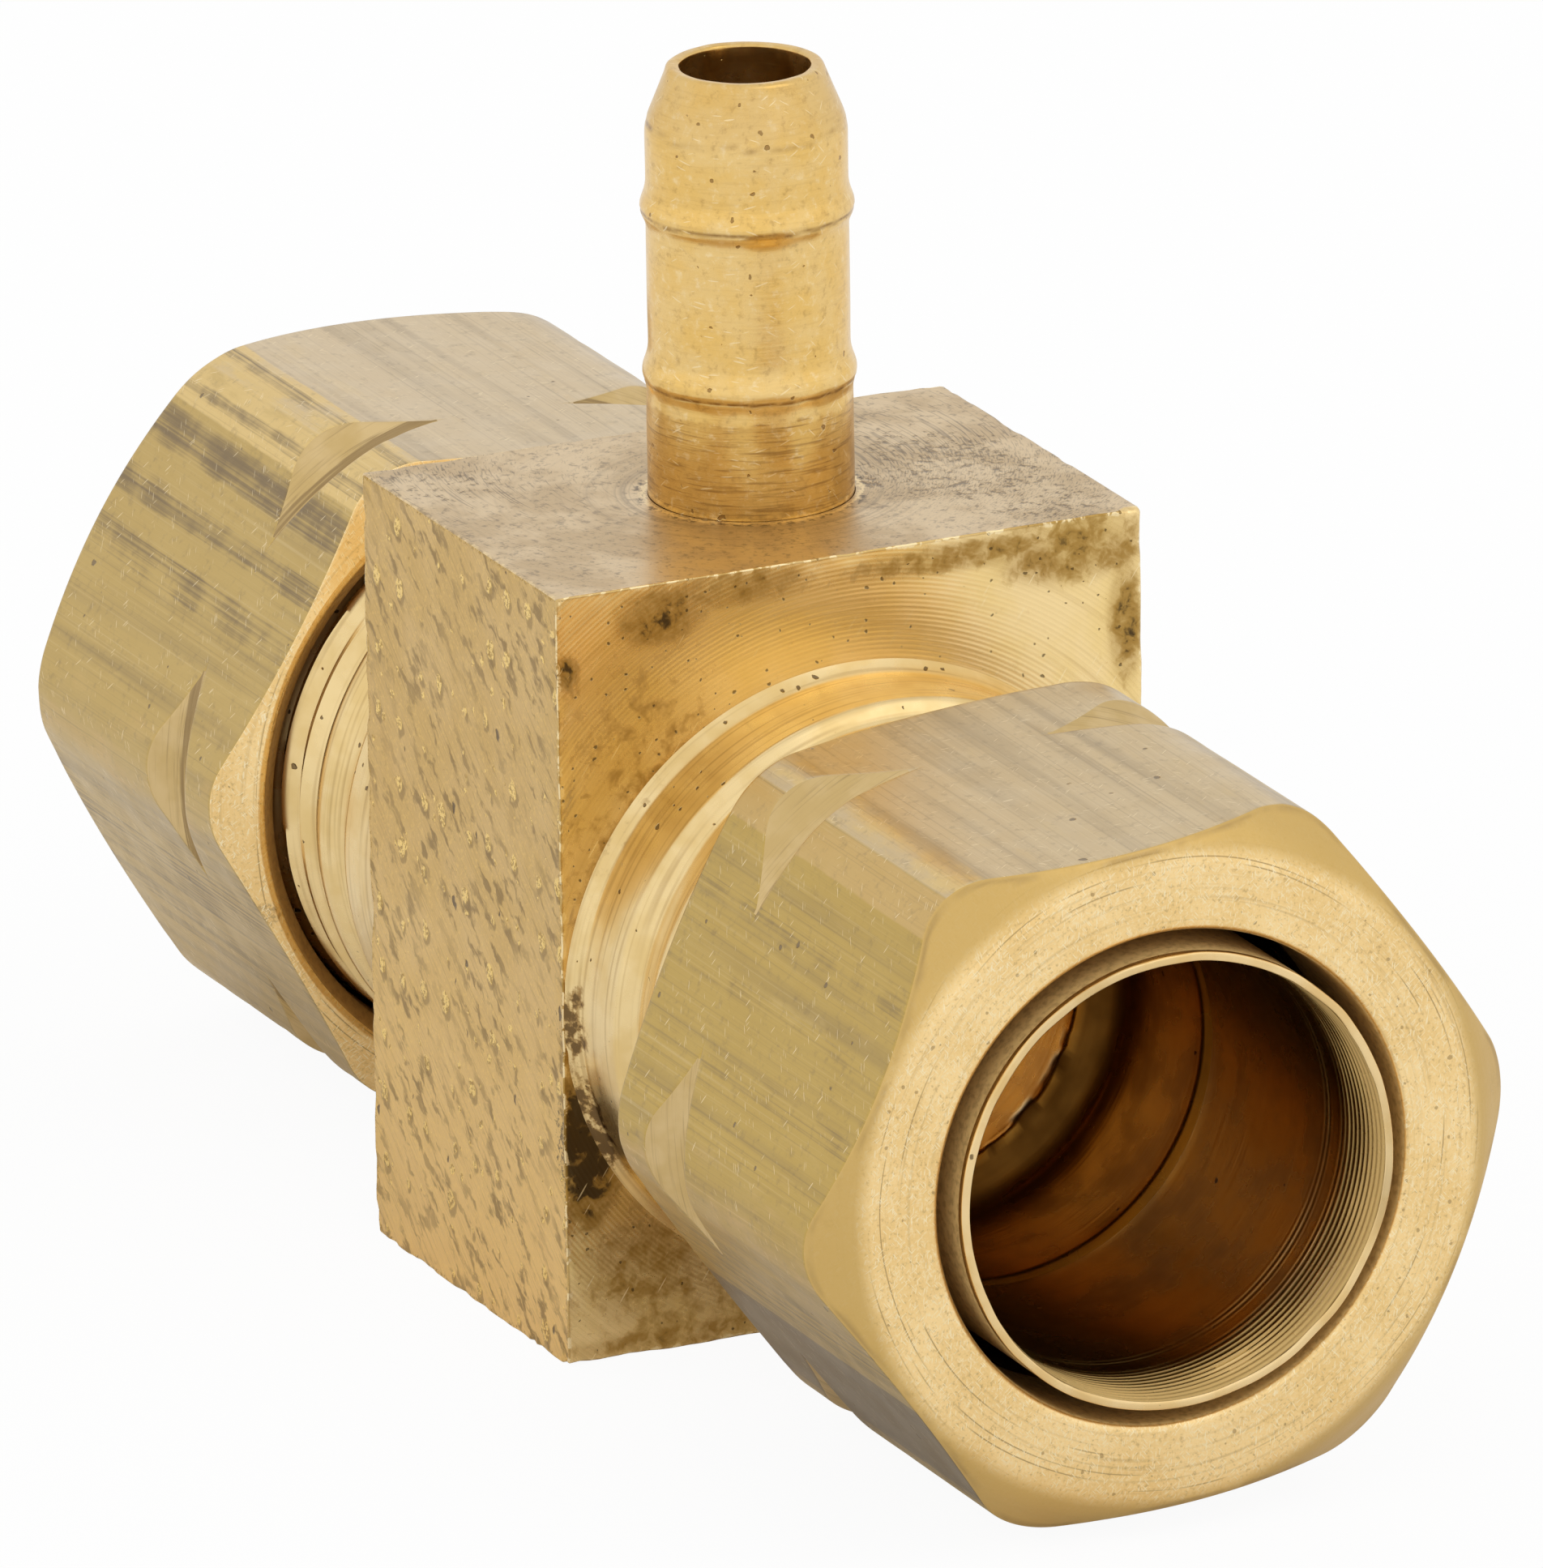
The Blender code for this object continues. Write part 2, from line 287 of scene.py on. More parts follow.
class Brass(Wiring):
    """A brass material that is laid on coat by coat and follows the piece in millimetres."""

    def __init__(self, name: str) -> None:
        """Starts a metal material.

        Args:
            name: The material's name.
        """
        self.material = bpy.data.materials.new(name)
        self.material.use_nodes = True
        super().__init__(self.material.node_tree)
        self.shader = self.tree.nodes["Principled BSDF"]
        self.shader.inputs["Metallic"].default_value = 1.0
        coordinates = self.node("ShaderNodeTexCoord").outputs["Object"]
        self.at = self.vector("MULTIPLY", coordinates, (1 / MM, 1 / MM, 1 / MM))

    def blend(self, share: Value, first: Tint, second: Tint) -> Socket:
        """A mix of two colours.

        Args:
            share: How much of the second colour shows.
            first: The first colour.
            second: The second colour.

        Returns:
            The mixed colour.
        """
        made = self.node("ShaderNodeMix", data_type="RGBA")
        for number, value in ((0, share), (6, first), (7, second)):
            self.put(made.inputs[number], value)
        return made.outputs[2]

    def base(self, share: Value, first: Tint, second: Tint) -> None:
        """Starts the brass's colour as a mix of two colours."""
        self.colour = self.blend(share, first, second)

    def coat(self, tint: Tint, share: Value, most: float | None = None) -> None:
        """Lays a share of another colour over the brass, at most as strong as most says."""
        part = share if most is None else self.times(share, most)
        self.colour = self.blend(part, self.colour, tint)

    def noise(
        self, scale: float, detail: float = 3.0, rough: float = 0.55, at: Socket | None = None
    ) -> Socket:
        """Cloudy noise.

        Args:
            scale: Clouds to a unit of the coordinates.
            detail: How many finer layers it has.
            rough: How strong the finer layers are.
            at: The coordinates that it follows, or None for the piece's own.

        Returns:
            A number about 0.5.
        """
        made = self.node("ShaderNodeTexNoise")
        self.put(made.inputs["Vector"], at or self.at)
        for name, number in (("Scale", scale), ("Detail", detail), ("Roughness", rough)):
            made.inputs[name].default_value = number
        return made.outputs[0]

    def stretched(self, size: Place, turn: Place = UNTURNED, at: Socket | None = None) -> Socket:
        """Coordinates in which a long mark is one unit long and one unit wide.

        Args:
            size: A mark's length along each turned axis.
            turn: How the axes are turned.
            at: The coordinates to stretch, or None for the piece's own.

        Returns:
            The stretched coordinates.
        """
        made = self.node("ShaderNodeMapping", vector_type="TEXTURE")
        self.put(made.inputs["Vector"], at or self.at)
        made.inputs["Rotation"].default_value = tuple(math.radians(angle) for angle in turn)
        made.inputs["Scale"].default_value = size
        return made.outputs[0]

    def grain(self, size: Place, detail: float = 3.0, rough: float = 0.55) -> Socket:
        """Noise drawn out into marks of this size, about 0.5."""
        return self.noise(1.0, detail, rough, self.stretched(size))

    def warped(self, amount: float, scale: float) -> Socket:
        """The piece's coordinates, stirred so that round marks turn ragged.

        Args:
            amount: How far a place moves at most, in millimetres.
            scale: Swirls to the millimetre.

        Returns:
            The stirred coordinates.
        """
        made = self.node("ShaderNodeTexNoise")
        self.put(made.inputs["Vector"], self.at)
        made.inputs["Scale"].default_value = scale
        centred = self.vector("SUBTRACT", made.outputs["Color"], (0.5, 0.5, 0.5))
        shift = self.vector("MULTIPLY", centred, (amount, amount, amount))
        return self.vector("ADD", self.at, shift)

    def specks(
        self,
        at: Socket,
        size: float,
        share: float,
        scale: float = 1.0,
        loose: float = 1.0,
        plane: bool = False,
    ) -> Socket:
        """Scattered specks.

        Args:
            at: The coordinates that they follow.
            size: A speck's radius as a share of its cell.
            share: The share of the cells that hold a speck.
            scale: Cells to a unit, each with one speck at most.
            loose: How far specks stray from a lattice.
            plane: Whether the specks lie on the first two axes only.

        Returns:
            1 in a speck and 0 outside.
        """
        made = self.node("ShaderNodeTexVoronoi", voronoi_dimensions="2D" if plane else "3D")
        self.put(made.inputs["Vector"], at)
        made.inputs["Scale"].default_value = scale
        made.inputs["Randomness"].default_value = loose
        chance = self.node("ShaderNodeSeparateColor")
        self.put(chance.inputs[0], made.outputs["Color"])
        kept = self.math("LESS_THAN", chance.outputs[0], share)
        soft = size * SOFT_RIM
        reach = self.plus(self.times(chance.outputs[1], size), soft)
        near = self.math("SUBTRACT", reach, made.outputs["Distance"])
        return self.times(kept, self.ramp(near, 0.0, soft))

    def hairs(
        self,
        tint: Colour,
        size: Place,
        turns: tuple[Place, ...],
        reach: float,
        share: float,
        most: float,
    ) -> None:
        """Lays on fine scratches, as stretched specks in each of the turned directions."""
        for turn in turns:
            self.coat(tint, self.specks(self.stretched(size, turn), reach, share), most)

    def mark(self, name: str) -> Socket:
        """A number that the piece's mesh carries on its points."""
        return self.node("ShaderNodeAttribute", attribute_name=name).outputs["Fac"]

    def height(self) -> Socket:
        """How high a point lies.

        Returns:
            The height above the base.
        """
        made = self.node("ShaderNodeSeparateXYZ")
        self.put(made.inputs[0], self.at)
        return made.outputs[2]

    def from_run(self) -> Socket:
        """The distance from the axis of the run."""
        shifted = self.vector("SUBTRACT", self.at, (0.0, 0.0, RUN_HEIGHT))
        return self.vector("LENGTH", self.vector("MULTIPLY", shifted, (0.0, 1.0, 1.0)))

    def from_branch(self) -> Socket:
        """The distance from the axis of the branch."""
        return self.vector("LENGTH", self.vector("MULTIPLY", self.at, (1.0, 1.0, 0.0)))

    def rings(self, radius: Socket, width: float, drift: float = 6.0) -> Socket:
        """Fine tool marks that run round an axis.

        Args:
            radius: The distance from the axis.
            width: The width of a mark.
            drift: The length over which a mark fades.

        Returns:
            A number about 0.5.
        """
        made = self.node("ShaderNodeCombineXYZ")
        self.put(made.inputs[0], self.math("DIVIDE", radius, width))
        slow = self.vector("DIVIDE", self.at, (drift, drift, drift))
        return self.noise(1.0, 2.0, at=self.vector("ADD", made.outputs[0], slow))

    def swing(self, noise: Socket, least: float, most: float) -> Socket:
        """Noise spread out between a least and a greatest number."""
        return self.ramp(noise, *NOISE_SPAN, least, most)

    def press(self, height: Value, depth: float) -> None:
        """Adds a relief to the surface, over the reliefs before it.

        Args:
            height: The relief, from 0 to 1.
            depth: Its height in millimetres.
        """
        made = self.node("ShaderNodeBump")
        made.inputs["Distance"].default_value = depth * MM
        self.put(made.inputs["Height"], height)
        before = self.shader.inputs["Normal"]
        if before.is_linked:
            self.put(made.inputs["Normal"], before.links[0].from_socket)
        self.put(before, made.outputs[0])

    def sink(self, pits: Socket, depth: float) -> None:
        """Sinks pits to a depth in millimetres."""
        self.press(self.math("SUBTRACT", 1.0, pits), depth)


class Finish:
    """A finish of the brass."""

    def lay(self, brass: Brass) -> Value:
        """Lays the colours and reliefs on a material, and gives its roughness."""
        raise NotImplementedError

    def make(self, name: str) -> bpy.types.Material:
        """Makes the finish.

        Args:
            name: The material's name.

        Returns:
            The material.
        """
        brass = Brass(name)
        brass.put(brass.shader.inputs["Roughness"], self.lay(brass))
        brass.put(brass.shader.inputs["Base Color"], brass.colour)
        return brass.material


@dataclass(frozen=True)
class SawnBrass(Finish):
    """Saw-cut side of the block: soft slanting smears, rows of torn flecks and a few dark pits."""

    tan: Colour = (0.69, 0.475, 0.195)
    warm: Colour = (0.65, 0.435, 0.155)
    # low is painted light: it lightens the sawn sides towards the bottom.
    low: Colour = (0.90, 0.62, 0.25)
    painted_light_span: Span = (15.0, 1.0)
    smear: Colour = (0.30, 0.19, 0.065)
    torn: Colour = (0.46, 0.28, 0.06)
    fleck: Colour = (0.98, 0.69, 0.22)
    pit: Colour = (0.10, 0.07, 0.045)
    slant: float = 39.0
    grain_size: Place = (2.2, 2.2, 0.07)
    smear_size: Place = (1.3, 1.3, 0.42)
    fleck_cell: Place = (1.56, 1.95, 1.0)
    fleck_shadow: Place = (-0.06, 0.07, 0.0)
    small_cell: Place = (0.7, 0.7, 1.0)
    pit_cell: Place = (0.8, 1.5, 1.0)
    grain_depth: float = 0.012
    smear_depth: float = 0.02
    fleck_height: float = 0.015
    pit_depth: float = 0.03
    roughness: Span = (0.42, 0.26)

    def lay(self, brass: Brass) -> Value:
        """Lays the colours and reliefs on.

        Args:
            brass: The material.

        Returns:
            Its roughness.
        """
        turn = (0.0, self.slant, 0.0)
        wavy = brass.warped(0.4, 2.5)
        grain = brass.noise(1.0, 3.0, 0.6, brass.stretched(self.grain_size, turn))
        smear = brass.noise(1.0, 4.0, at=brass.stretched(self.smear_size, turn, wavy))
        glint = brass.noise(9.0, 2.0, 0.6)
        brass.base(brass.ramp(brass.noise(0.4), 0.35, 0.65), self.tan, self.warm)
        # Painted light: the sides grow lighter towards the bottom.
        brass.coat(self.low, brass.ramp(brass.height(), *self.painted_light_span, 0.0, 0.7))
        brass.coat(self.smear, brass.ramp(grain, 0.48, 0.75, 0.0, 0.35))
        brass.coat(self.fleck, brass.ramp(glint, 0.5, 0.7, 0.0, 0.25))
        rows = brass.ramp(brass.noise(0.3, 2.0), 0.32, 0.6, 0.25, 1.0)
        brass.coat(self.smear, brass.times(brass.ramp(smear, 0.51, 0.62), rows), 0.82)
        lattice = brass.stretched(self.fleck_cell, SIDE_ON, wavy)
        # Painted shadow: a dark crescent in the smear colour beside each fleck.
        beside = brass.vector("ADD", lattice, self.fleck_shadow)
        brass.coat(self.smear, brass.specks(beside, 0.17, 0.95, loose=0.35, plane=True), 0.6)
        flecks = brass.specks(lattice, 0.14, 0.95, loose=0.35, plane=True)
        between = brass.stretched(self.small_cell, SIDE_ON, wavy)
        small = brass.specks(between, 0.17, 0.22, plane=True)
        flecks = brass.math("MAXIMUM", flecks, small)
        broken = brass.plus(brass.mark("edge"), brass.ramp(glint, 0.35, 0.65, -0.1, 0.12))
        flecks = brass.math("MAXIMUM", flecks, brass.ramp(broken, 0.06, 0.0))
        shine = brass.blend(brass.ramp(glint, 0.4, 0.56), self.torn, self.fleck)
        brass.coat(shine, flecks, 0.9)
        pits = brass.specks(brass.stretched(self.pit_cell, SIDE_ON, wavy), 0.12, 0.08, plane=True)
        brass.coat(self.pit, pits, 0.8)
        chips = brass.plus(brass.times(brass.mark("stain"), 0.5), glint)
        brass.coat(self.pit, brass.ramp(chips, 0.92, 1.08), 0.8)
        brass.press(grain, self.grain_depth)
        brass.press(smear, self.smear_depth)
        brass.press(brass.times(flecks, glint), self.fleck_height)
        brass.sink(pits, self.pit_depth)
        return brass.ramp(flecks, 0.0, 1.0, *self.roughness)


@dataclass(frozen=True)
class MilledBrass(Finish):
    """Milled top of the block: pale, with short dark dashes and a rough ring at the stem's foot."""

    pale: Colour = (0.72, 0.545, 0.32)
    dull: Colour = (0.60, 0.44, 0.245)
    dash: Colour = (0.22, 0.16, 0.10)
    foot: Colour = (0.11, 0.08, 0.045)
    lip: Colour = (0.92, 0.72, 0.40)
    lip_radius: float = 3.12
    foot_radius: float = 3.34
    foot_width: float = 0.16
    ring_width: float = 0.14
    ring_depth: float = 0.004
    dash_width: float = 0.06
    dash_length: float = 0.16
    dash_depth: float = 0.006
    blot_depth: float = 0.04
    roughness: Span = (0.3, 0.4)

    def lay(self, brass: Brass) -> Value:
        """Lays the colours and reliefs on.

        Args:
            brass: The material.

        Returns:
            Its roughness.
        """
        radius = brass.from_branch()
        rings = brass.rings(radius, self.ring_width, 9.0)
        dashes = brass.rings(radius, self.dash_width, self.dash_length)
        cloud = brass.noise(0.5)
        fleck = brass.noise(4.0, 4.0, 0.65)
        stain = brass.mark("stain")
        brass.base(brass.ramp(cloud, 0.38, 0.62), self.pale, self.dull)
        brass.coat(self.dash, brass.ramp(fleck, 0.53, 0.68, 0.0, 0.55))
        near = brass.ramp(radius, 6.5, 3.2, 0.12, 0.5)
        brass.coat(self.dash, brass.times(brass.ramp(rings, 0.45, 0.75), near))
        thick = brass.ramp(brass.plus(dashes, brass.times(stain, 0.13)), 0.58, 0.74)
        brass.coat(self.dash, brass.times(thick, brass.ramp(cloud, 0.3, 0.6, 0.35, 0.75)))
        blot = brass.ramp(brass.plus(brass.times(stain, 0.55), fleck), 0.9, 1.08)
        brass.coat(self.dash, blot, 0.75)
        broken = brass.plus(brass.mark("edge"), brass.swing(fleck, -0.1, 0.12))
        brass.coat(self.lip, brass.ramp(broken, 0.05, 0.0, 0.0, 0.5))
        ragged = brass.plus(radius, brass.swing(fleck, -0.08, 0.1))
        ring = brass.ramp(brass.away(ragged, self.foot_radius), self.foot_width, 0.0)
        brass.coat(self.foot, brass.times(ring, brass.ramp(fleck, 0.48, 0.58, 0.0, 0.8)))
        brass.coat(self.lip, brass.ramp(brass.away(ragged, self.lip_radius), 0.09, 0.02, 0.0, 0.8))
        brass.press(rings, self.ring_depth)
        brass.press(dashes, self.dash_depth)
        brass.sink(blot, self.blot_depth)
        return brass.swing(cloud, *self.roughness)


@dataclass(frozen=True)
class FacedBrass(Finish):
    """End face of the block, turned across, with brown stains that creep in from its edges."""

    pale: Colour = (1.0, 0.765, 0.385)
    deep: Colour = (0.96, 0.715, 0.31)
    brown: Colour = (0.40, 0.225, 0.045)
    black: Colour = (0.06, 0.04, 0.02)
    worn: Colour = (1.0, 0.82, 0.48)
    feed: float = 0.14
    feed_depth: float = 0.0008
    ring_width: float = 0.18
    ring_depth: float = 0.003
    pit_cell: Place = (0.5, 0.5, 1.0)
    pit_depth: float = 0.03
    hair_size: Place = (0.9, 0.9, 0.07)
    hair_turns: tuple[Place, ...] = ((55.0, 20.0, 0.0),)
    roughness: Span = (0.27, 0.42)

    def lay(self, brass: Brass) -> Value:
        """Lays the colours and reliefs on.

        Args:
            brass: The material.

        Returns:
            Its roughness.
        """
        radius = brass.from_run()
        rings = brass.rings(radius, self.ring_width)
        lines = brass.math("SINE", brass.times(radius, 2 * math.pi / self.feed))
        ragged = brass.noise(2.2, 4.0, 0.58, brass.warped(0.6, 1.5))
        edge = brass.mark("edge")
        stained = brass.mark("stain")
        mark = brass.plus(stained, brass.ramp(ragged, 0.2, 0.8, -0.38, 0.38))
        brass.base(brass.ramp(brass.noise(0.5), 0.35, 0.65), self.pale, self.deep)
        brass.coat(self.brown, brass.ramp(rings, 0.45, 0.8, 0.0, 0.2))
        brass.coat(self.brown, brass.ramp(lines, 0.2, 1.0, 0.0, 0.08))
        brass.coat(self.brown, brass.ramp(stained, 0.0, 0.5, 0.0, 0.4))
        stain = brass.ramp(mark, 0.22, 0.85)
        brass.coat(self.brown, stain, 0.85)
        brass.coat(self.black, brass.ramp(mark, 0.8, 1.1, 0.0, 0.9))
        flat = brass.stretched(self.pit_cell, END_ON, brass.warped(0.2, 4.0))
        pits = brass.specks(flat, 0.08, 0.4, plane=True)
        brass.coat(self.black, pits, 0.7)
        brass.hairs(self.worn, self.hair_size, self.hair_turns, 0.3, 0.09, 0.6)
        broken = brass.plus(edge, brass.swing(ragged, -0.12, 0.14))
        # Painted shade: the bevel along the face's edges is browned to dim its bright reflection.
        brass.coat(self.brown, brass.ramp(edge, 0.1, 0.03, 0.0, 0.55))
        glints = brass.ramp(ragged, 0.5, 0.44, 0.0, 0.8)
        brass.coat(self.worn, brass.times(brass.ramp(broken, 0.08, 0.0), glints))
        brass.press(rings, self.ring_depth)
        brass.press(lines, self.feed_depth)
        brass.sink(pits, self.pit_depth)
        return brass.ramp(stain, 0.0, 1.0, *self.roughness)


@dataclass(frozen=True)
class TurnedBrass(Finish):
    """Lathe-turned brass: marks round the run axis, small pits and a little tarnish."""

    pale: Colour = (0.87, 0.665, 0.335)
    deep: Colour = (0.79, 0.575, 0.25)
    brown: Colour = (0.36, 0.21, 0.07)
    pit: Colour = (0.12, 0.07, 0.03)
    mark_size: Place = (0.12, 6.0, 6.0)
    mark_depth: float = 0.002
    pit_depth: float = 0.025
    roughness: Span = (0.24, 0.34)

    def lay(self, brass: Brass) -> Value:
        """Lays the colours and reliefs on.

        Args:
            brass: The material.

        Returns:
            Its roughness.
        """
        marks = brass.grain(self.mark_size, 1.0)
        cloud = brass.noise(0.7)
        brass.base(brass.ramp(cloud, 0.35, 0.7), self.pale, self.deep)
        brass.coat(self.brown, brass.ramp(marks, 0.48, 0.75, 0.0, 0.4))
        pits = brass.specks(brass.warped(0.25, 4.0), 0.13, 0.5, 1.8)
        brass.coat(self.pit, pits, 0.85)
        mark = brass.times(brass.mark("stain"), brass.swing(brass.noise(2.4, 5.0, 0.65), 0.2, 1.7))
        brass.coat(self.brown, brass.ramp(mark, 0.45, 0.95, 0.0, 0.85))
        brass.coat(self.pit, brass.ramp(mark, 0.85, 1.2, 0.0, 0.8))
        brass.press(marks, self.mark_depth)
        brass.sink(pits, self.pit_depth)
        return brass.swing(cloud, *self.roughness)


@dataclass(frozen=True)
class BoredBrass(Finish):
    """Drilled inside: darker, warmer brass with soft drill marks and dark bits of burr."""

    warm: Colour = (0.98, 0.665, 0.245)
    brown: Colour = (0.76, 0.465, 0.135)
    dark: Colour = (0.10, 0.06, 0.03)
    # crest is painted light, laid on by the groove mark near a sleeve's mouth.
    crest: Colour = (0.95, 0.66, 0.26)
    crest_metal: float = 0.15
    mark_size: Place = (0.16, 5.0, 5.0)
    mark_depth: float = 0.006
    roughness: Span = (0.2, 0.32)
    dirt_roughness: float = 0.3

    def lay(self, brass: Brass) -> Value:
        """Lays the colours and reliefs on.

        Args:
            brass: The material.

        Returns:
            Its roughness.
        """
        marks = brass.grain(self.mark_size)
        cloud = brass.noise(0.55)
        brass.base(brass.ramp(cloud, 0.4, 0.75), self.warm, self.brown)
        brass.coat(self.brown, brass.ramp(marks, 0.5, 0.8, 0.0, 0.35))
        # The burr mark holds the real burr and the painted shade on the body's shoulder; the groove
        # mark is painted light near a sleeve's mouth.
        burr_bits_and_shade = brass.specks(brass.warped(0.2, 4.0), 0.1, 0.2, 0.9)
        burr_bits_and_shade = brass.math("MAXIMUM", burr_bits_and_shade, brass.mark("burr"))
        groove = brass.mark("groove")
        brass.coat(self.crest, groove)
        brass.coat(self.dark, burr_bits_and_shade, 0.85)
        metal = brass.ramp(groove, 0.0, 0.8, 1.0, self.crest_metal)
        brass.put(brass.shader.inputs["Metallic"], metal)
        brass.press(marks, self.mark_depth)
        dirt = brass.times(burr_bits_and_shade, self.dirt_roughness)
        return brass.plus(brass.swing(cloud, *self.roughness), dirt)


@dataclass(frozen=True)
class DullBrass(Finish):
    """Tarnished brass in the narrow gap round a sleeve: matt tan with fine grit."""

    tan: Colour = (0.70, 0.48, 0.19)
    dirt: Colour = (0.34, 0.20, 0.07)
    metal: float = 0.15
    roughness: float = 0.5
    grit_depth: float = 0.01

    def lay(self, brass: Brass) -> Value:
        """Lays the colours and reliefs on.

        Args:
            brass: The material.

        Returns:
            Its roughness.
        """
        grit = brass.noise(5.0, 4.0, 0.6)
        brass.base(brass.ramp(grit, 0.4, 0.7, 0.0, 0.6), self.tan, self.dirt)
        brass.put(brass.shader.inputs["Metallic"], self.metal)
        brass.press(grit, self.grit_depth)
        return self.roughness


@dataclass(frozen=True)
class DrawnBrass(Finish):
    """Drawn hexagon bar: olive to grey flats, worn corners, lengthwise lines and hair scratches."""

    olive: Colour = (0.55, 0.378, 0.108)
    grey: Colour = (0.69, 0.545, 0.345)
    gold: Colour = (0.77, 0.56, 0.235)
    pale: Colour = (0.63, 0.43, 0.165)
    dark: Colour = (0.20, 0.145, 0.09)
    bright: Colour = (1.0, 0.84, 0.55)
    fine_size: Place = (26.0, 0.08, 0.08)
    fine_depth: float = 0.003
    broad_size: Place = (24.0, 0.8, 0.8)
    streak_size: Place = (15.0, 0.12, 0.12)
    blotch_size: Place = (3.0, 0.9, 0.9)
    hair_size: Place = (0.55, 0.55, 0.035)
    hair_turns: tuple[Place, ...] = ((35.0, 20.0, 50.0), (-25.0, 65.0, 10.0), (80.0, -30.0, 35.0))
    nick_depth: float = 0.03
    roughness: Span = (0.32, 0.4)

    def lay(self, brass: Brass) -> Value:
        """Lays the colours and reliefs on.

        Args:
            brass: The material.

        Returns:
            Its roughness.
        """
        fine = brass.grain(self.fine_size, 3.0, 0.6)
        cloud = brass.noise(0.6)
        # Each flat's olive-to-grey colour is partly its own tint and partly painted reflection: the
        # top flats are greyer, like a reflection of the room behind.
        brass.base(brass.mark("tint_and_reflection"), self.olive, self.grey)
        brass.coat(self.dark, brass.ramp(brass.grain(self.broad_size), 0.45, 0.72, 0.0, 0.34))
        blotch = brass.grain(self.blotch_size, 5.0, 0.62)
        worn = brass.plus(brass.mark("corner"), brass.ramp(blotch, 0.25, 0.75, -0.4, 0.4))
        brass.coat(self.gold, brass.ramp(worn, 0.2, 0.9))
        brass.coat(self.pale, brass.ramp(worn, -0.2, -0.9))
        brass.coat(self.dark, brass.ramp(fine, 0.53, 0.78, 0.0, 0.34))
        brass.coat(self.bright, brass.ramp(fine, 0.45, 0.23, 0.0, 0.18))
        brass.coat(self.dark, brass.ramp(brass.noise(3.0, 5.0, 0.65), 0.52, 0.75, 0.0, 0.3))
        dirt = brass.plus(brass.mark("streak"), brass.swing(cloud, -0.1, 0.1))
        streak = brass.grain(self.streak_size, 3.0, 0.55)
        brass.coat(self.dark, brass.ramp(brass.plus(dirt, streak), 0.7, 1.15, 0.0, 0.8))
        brass.hairs(self.bright, self.hair_size, self.hair_turns, 0.26, 0.1, 0.6)
        nicks = brass.specks(brass.warped(0.15, 4.0), 0.09, 0.5, 0.9)
        brass.coat(self.dark, nicks, 0.8)
        brass.press(fine, self.fine_depth)
        brass.sink(nicks, self.nick_depth)
        return brass.swing(cloud, *self.roughness)


@dataclass(frozen=True)
class NotchBrass(Finish):
    """Turned notch across a nut's corners: tan, with tool lines round the nut."""

    tan: Colour = (0.68, 0.50, 0.245)
    warm: Colour = (0.60, 0.425, 0.18)
    line: Colour = (0.26, 0.17, 0.08)
    line_size: Place = (0.06, 3.0, 3.0)
    line_depth: float = 0.006
    roughness: float = 0.34

    def lay(self, brass: Brass) -> Value:
        """Lays the colours and reliefs on.

        Args:
            brass: The material.

        Returns:
            Its roughness.
        """
        lines = brass.grain(self.line_size, 3.0, 0.6)
        brass.base(brass.ramp(brass.noise(0.7), 0.35, 0.65), self.tan, self.warm)
        brass.coat(self.line, brass.ramp(lines, 0.5, 0.75, 0.0, 0.45))
        # Painted shade: the notch is darkened at its root, where its two slopes meet.
        deep = brass.plus(brass.mark("root"), brass.swing(lines, -0.3, 0.3))
        brass.coat(self.line, brass.ramp(deep, 0.55, 0.95, 0.0, 0.7))
        brass.press(lines, self.line_depth)
        return self.roughness


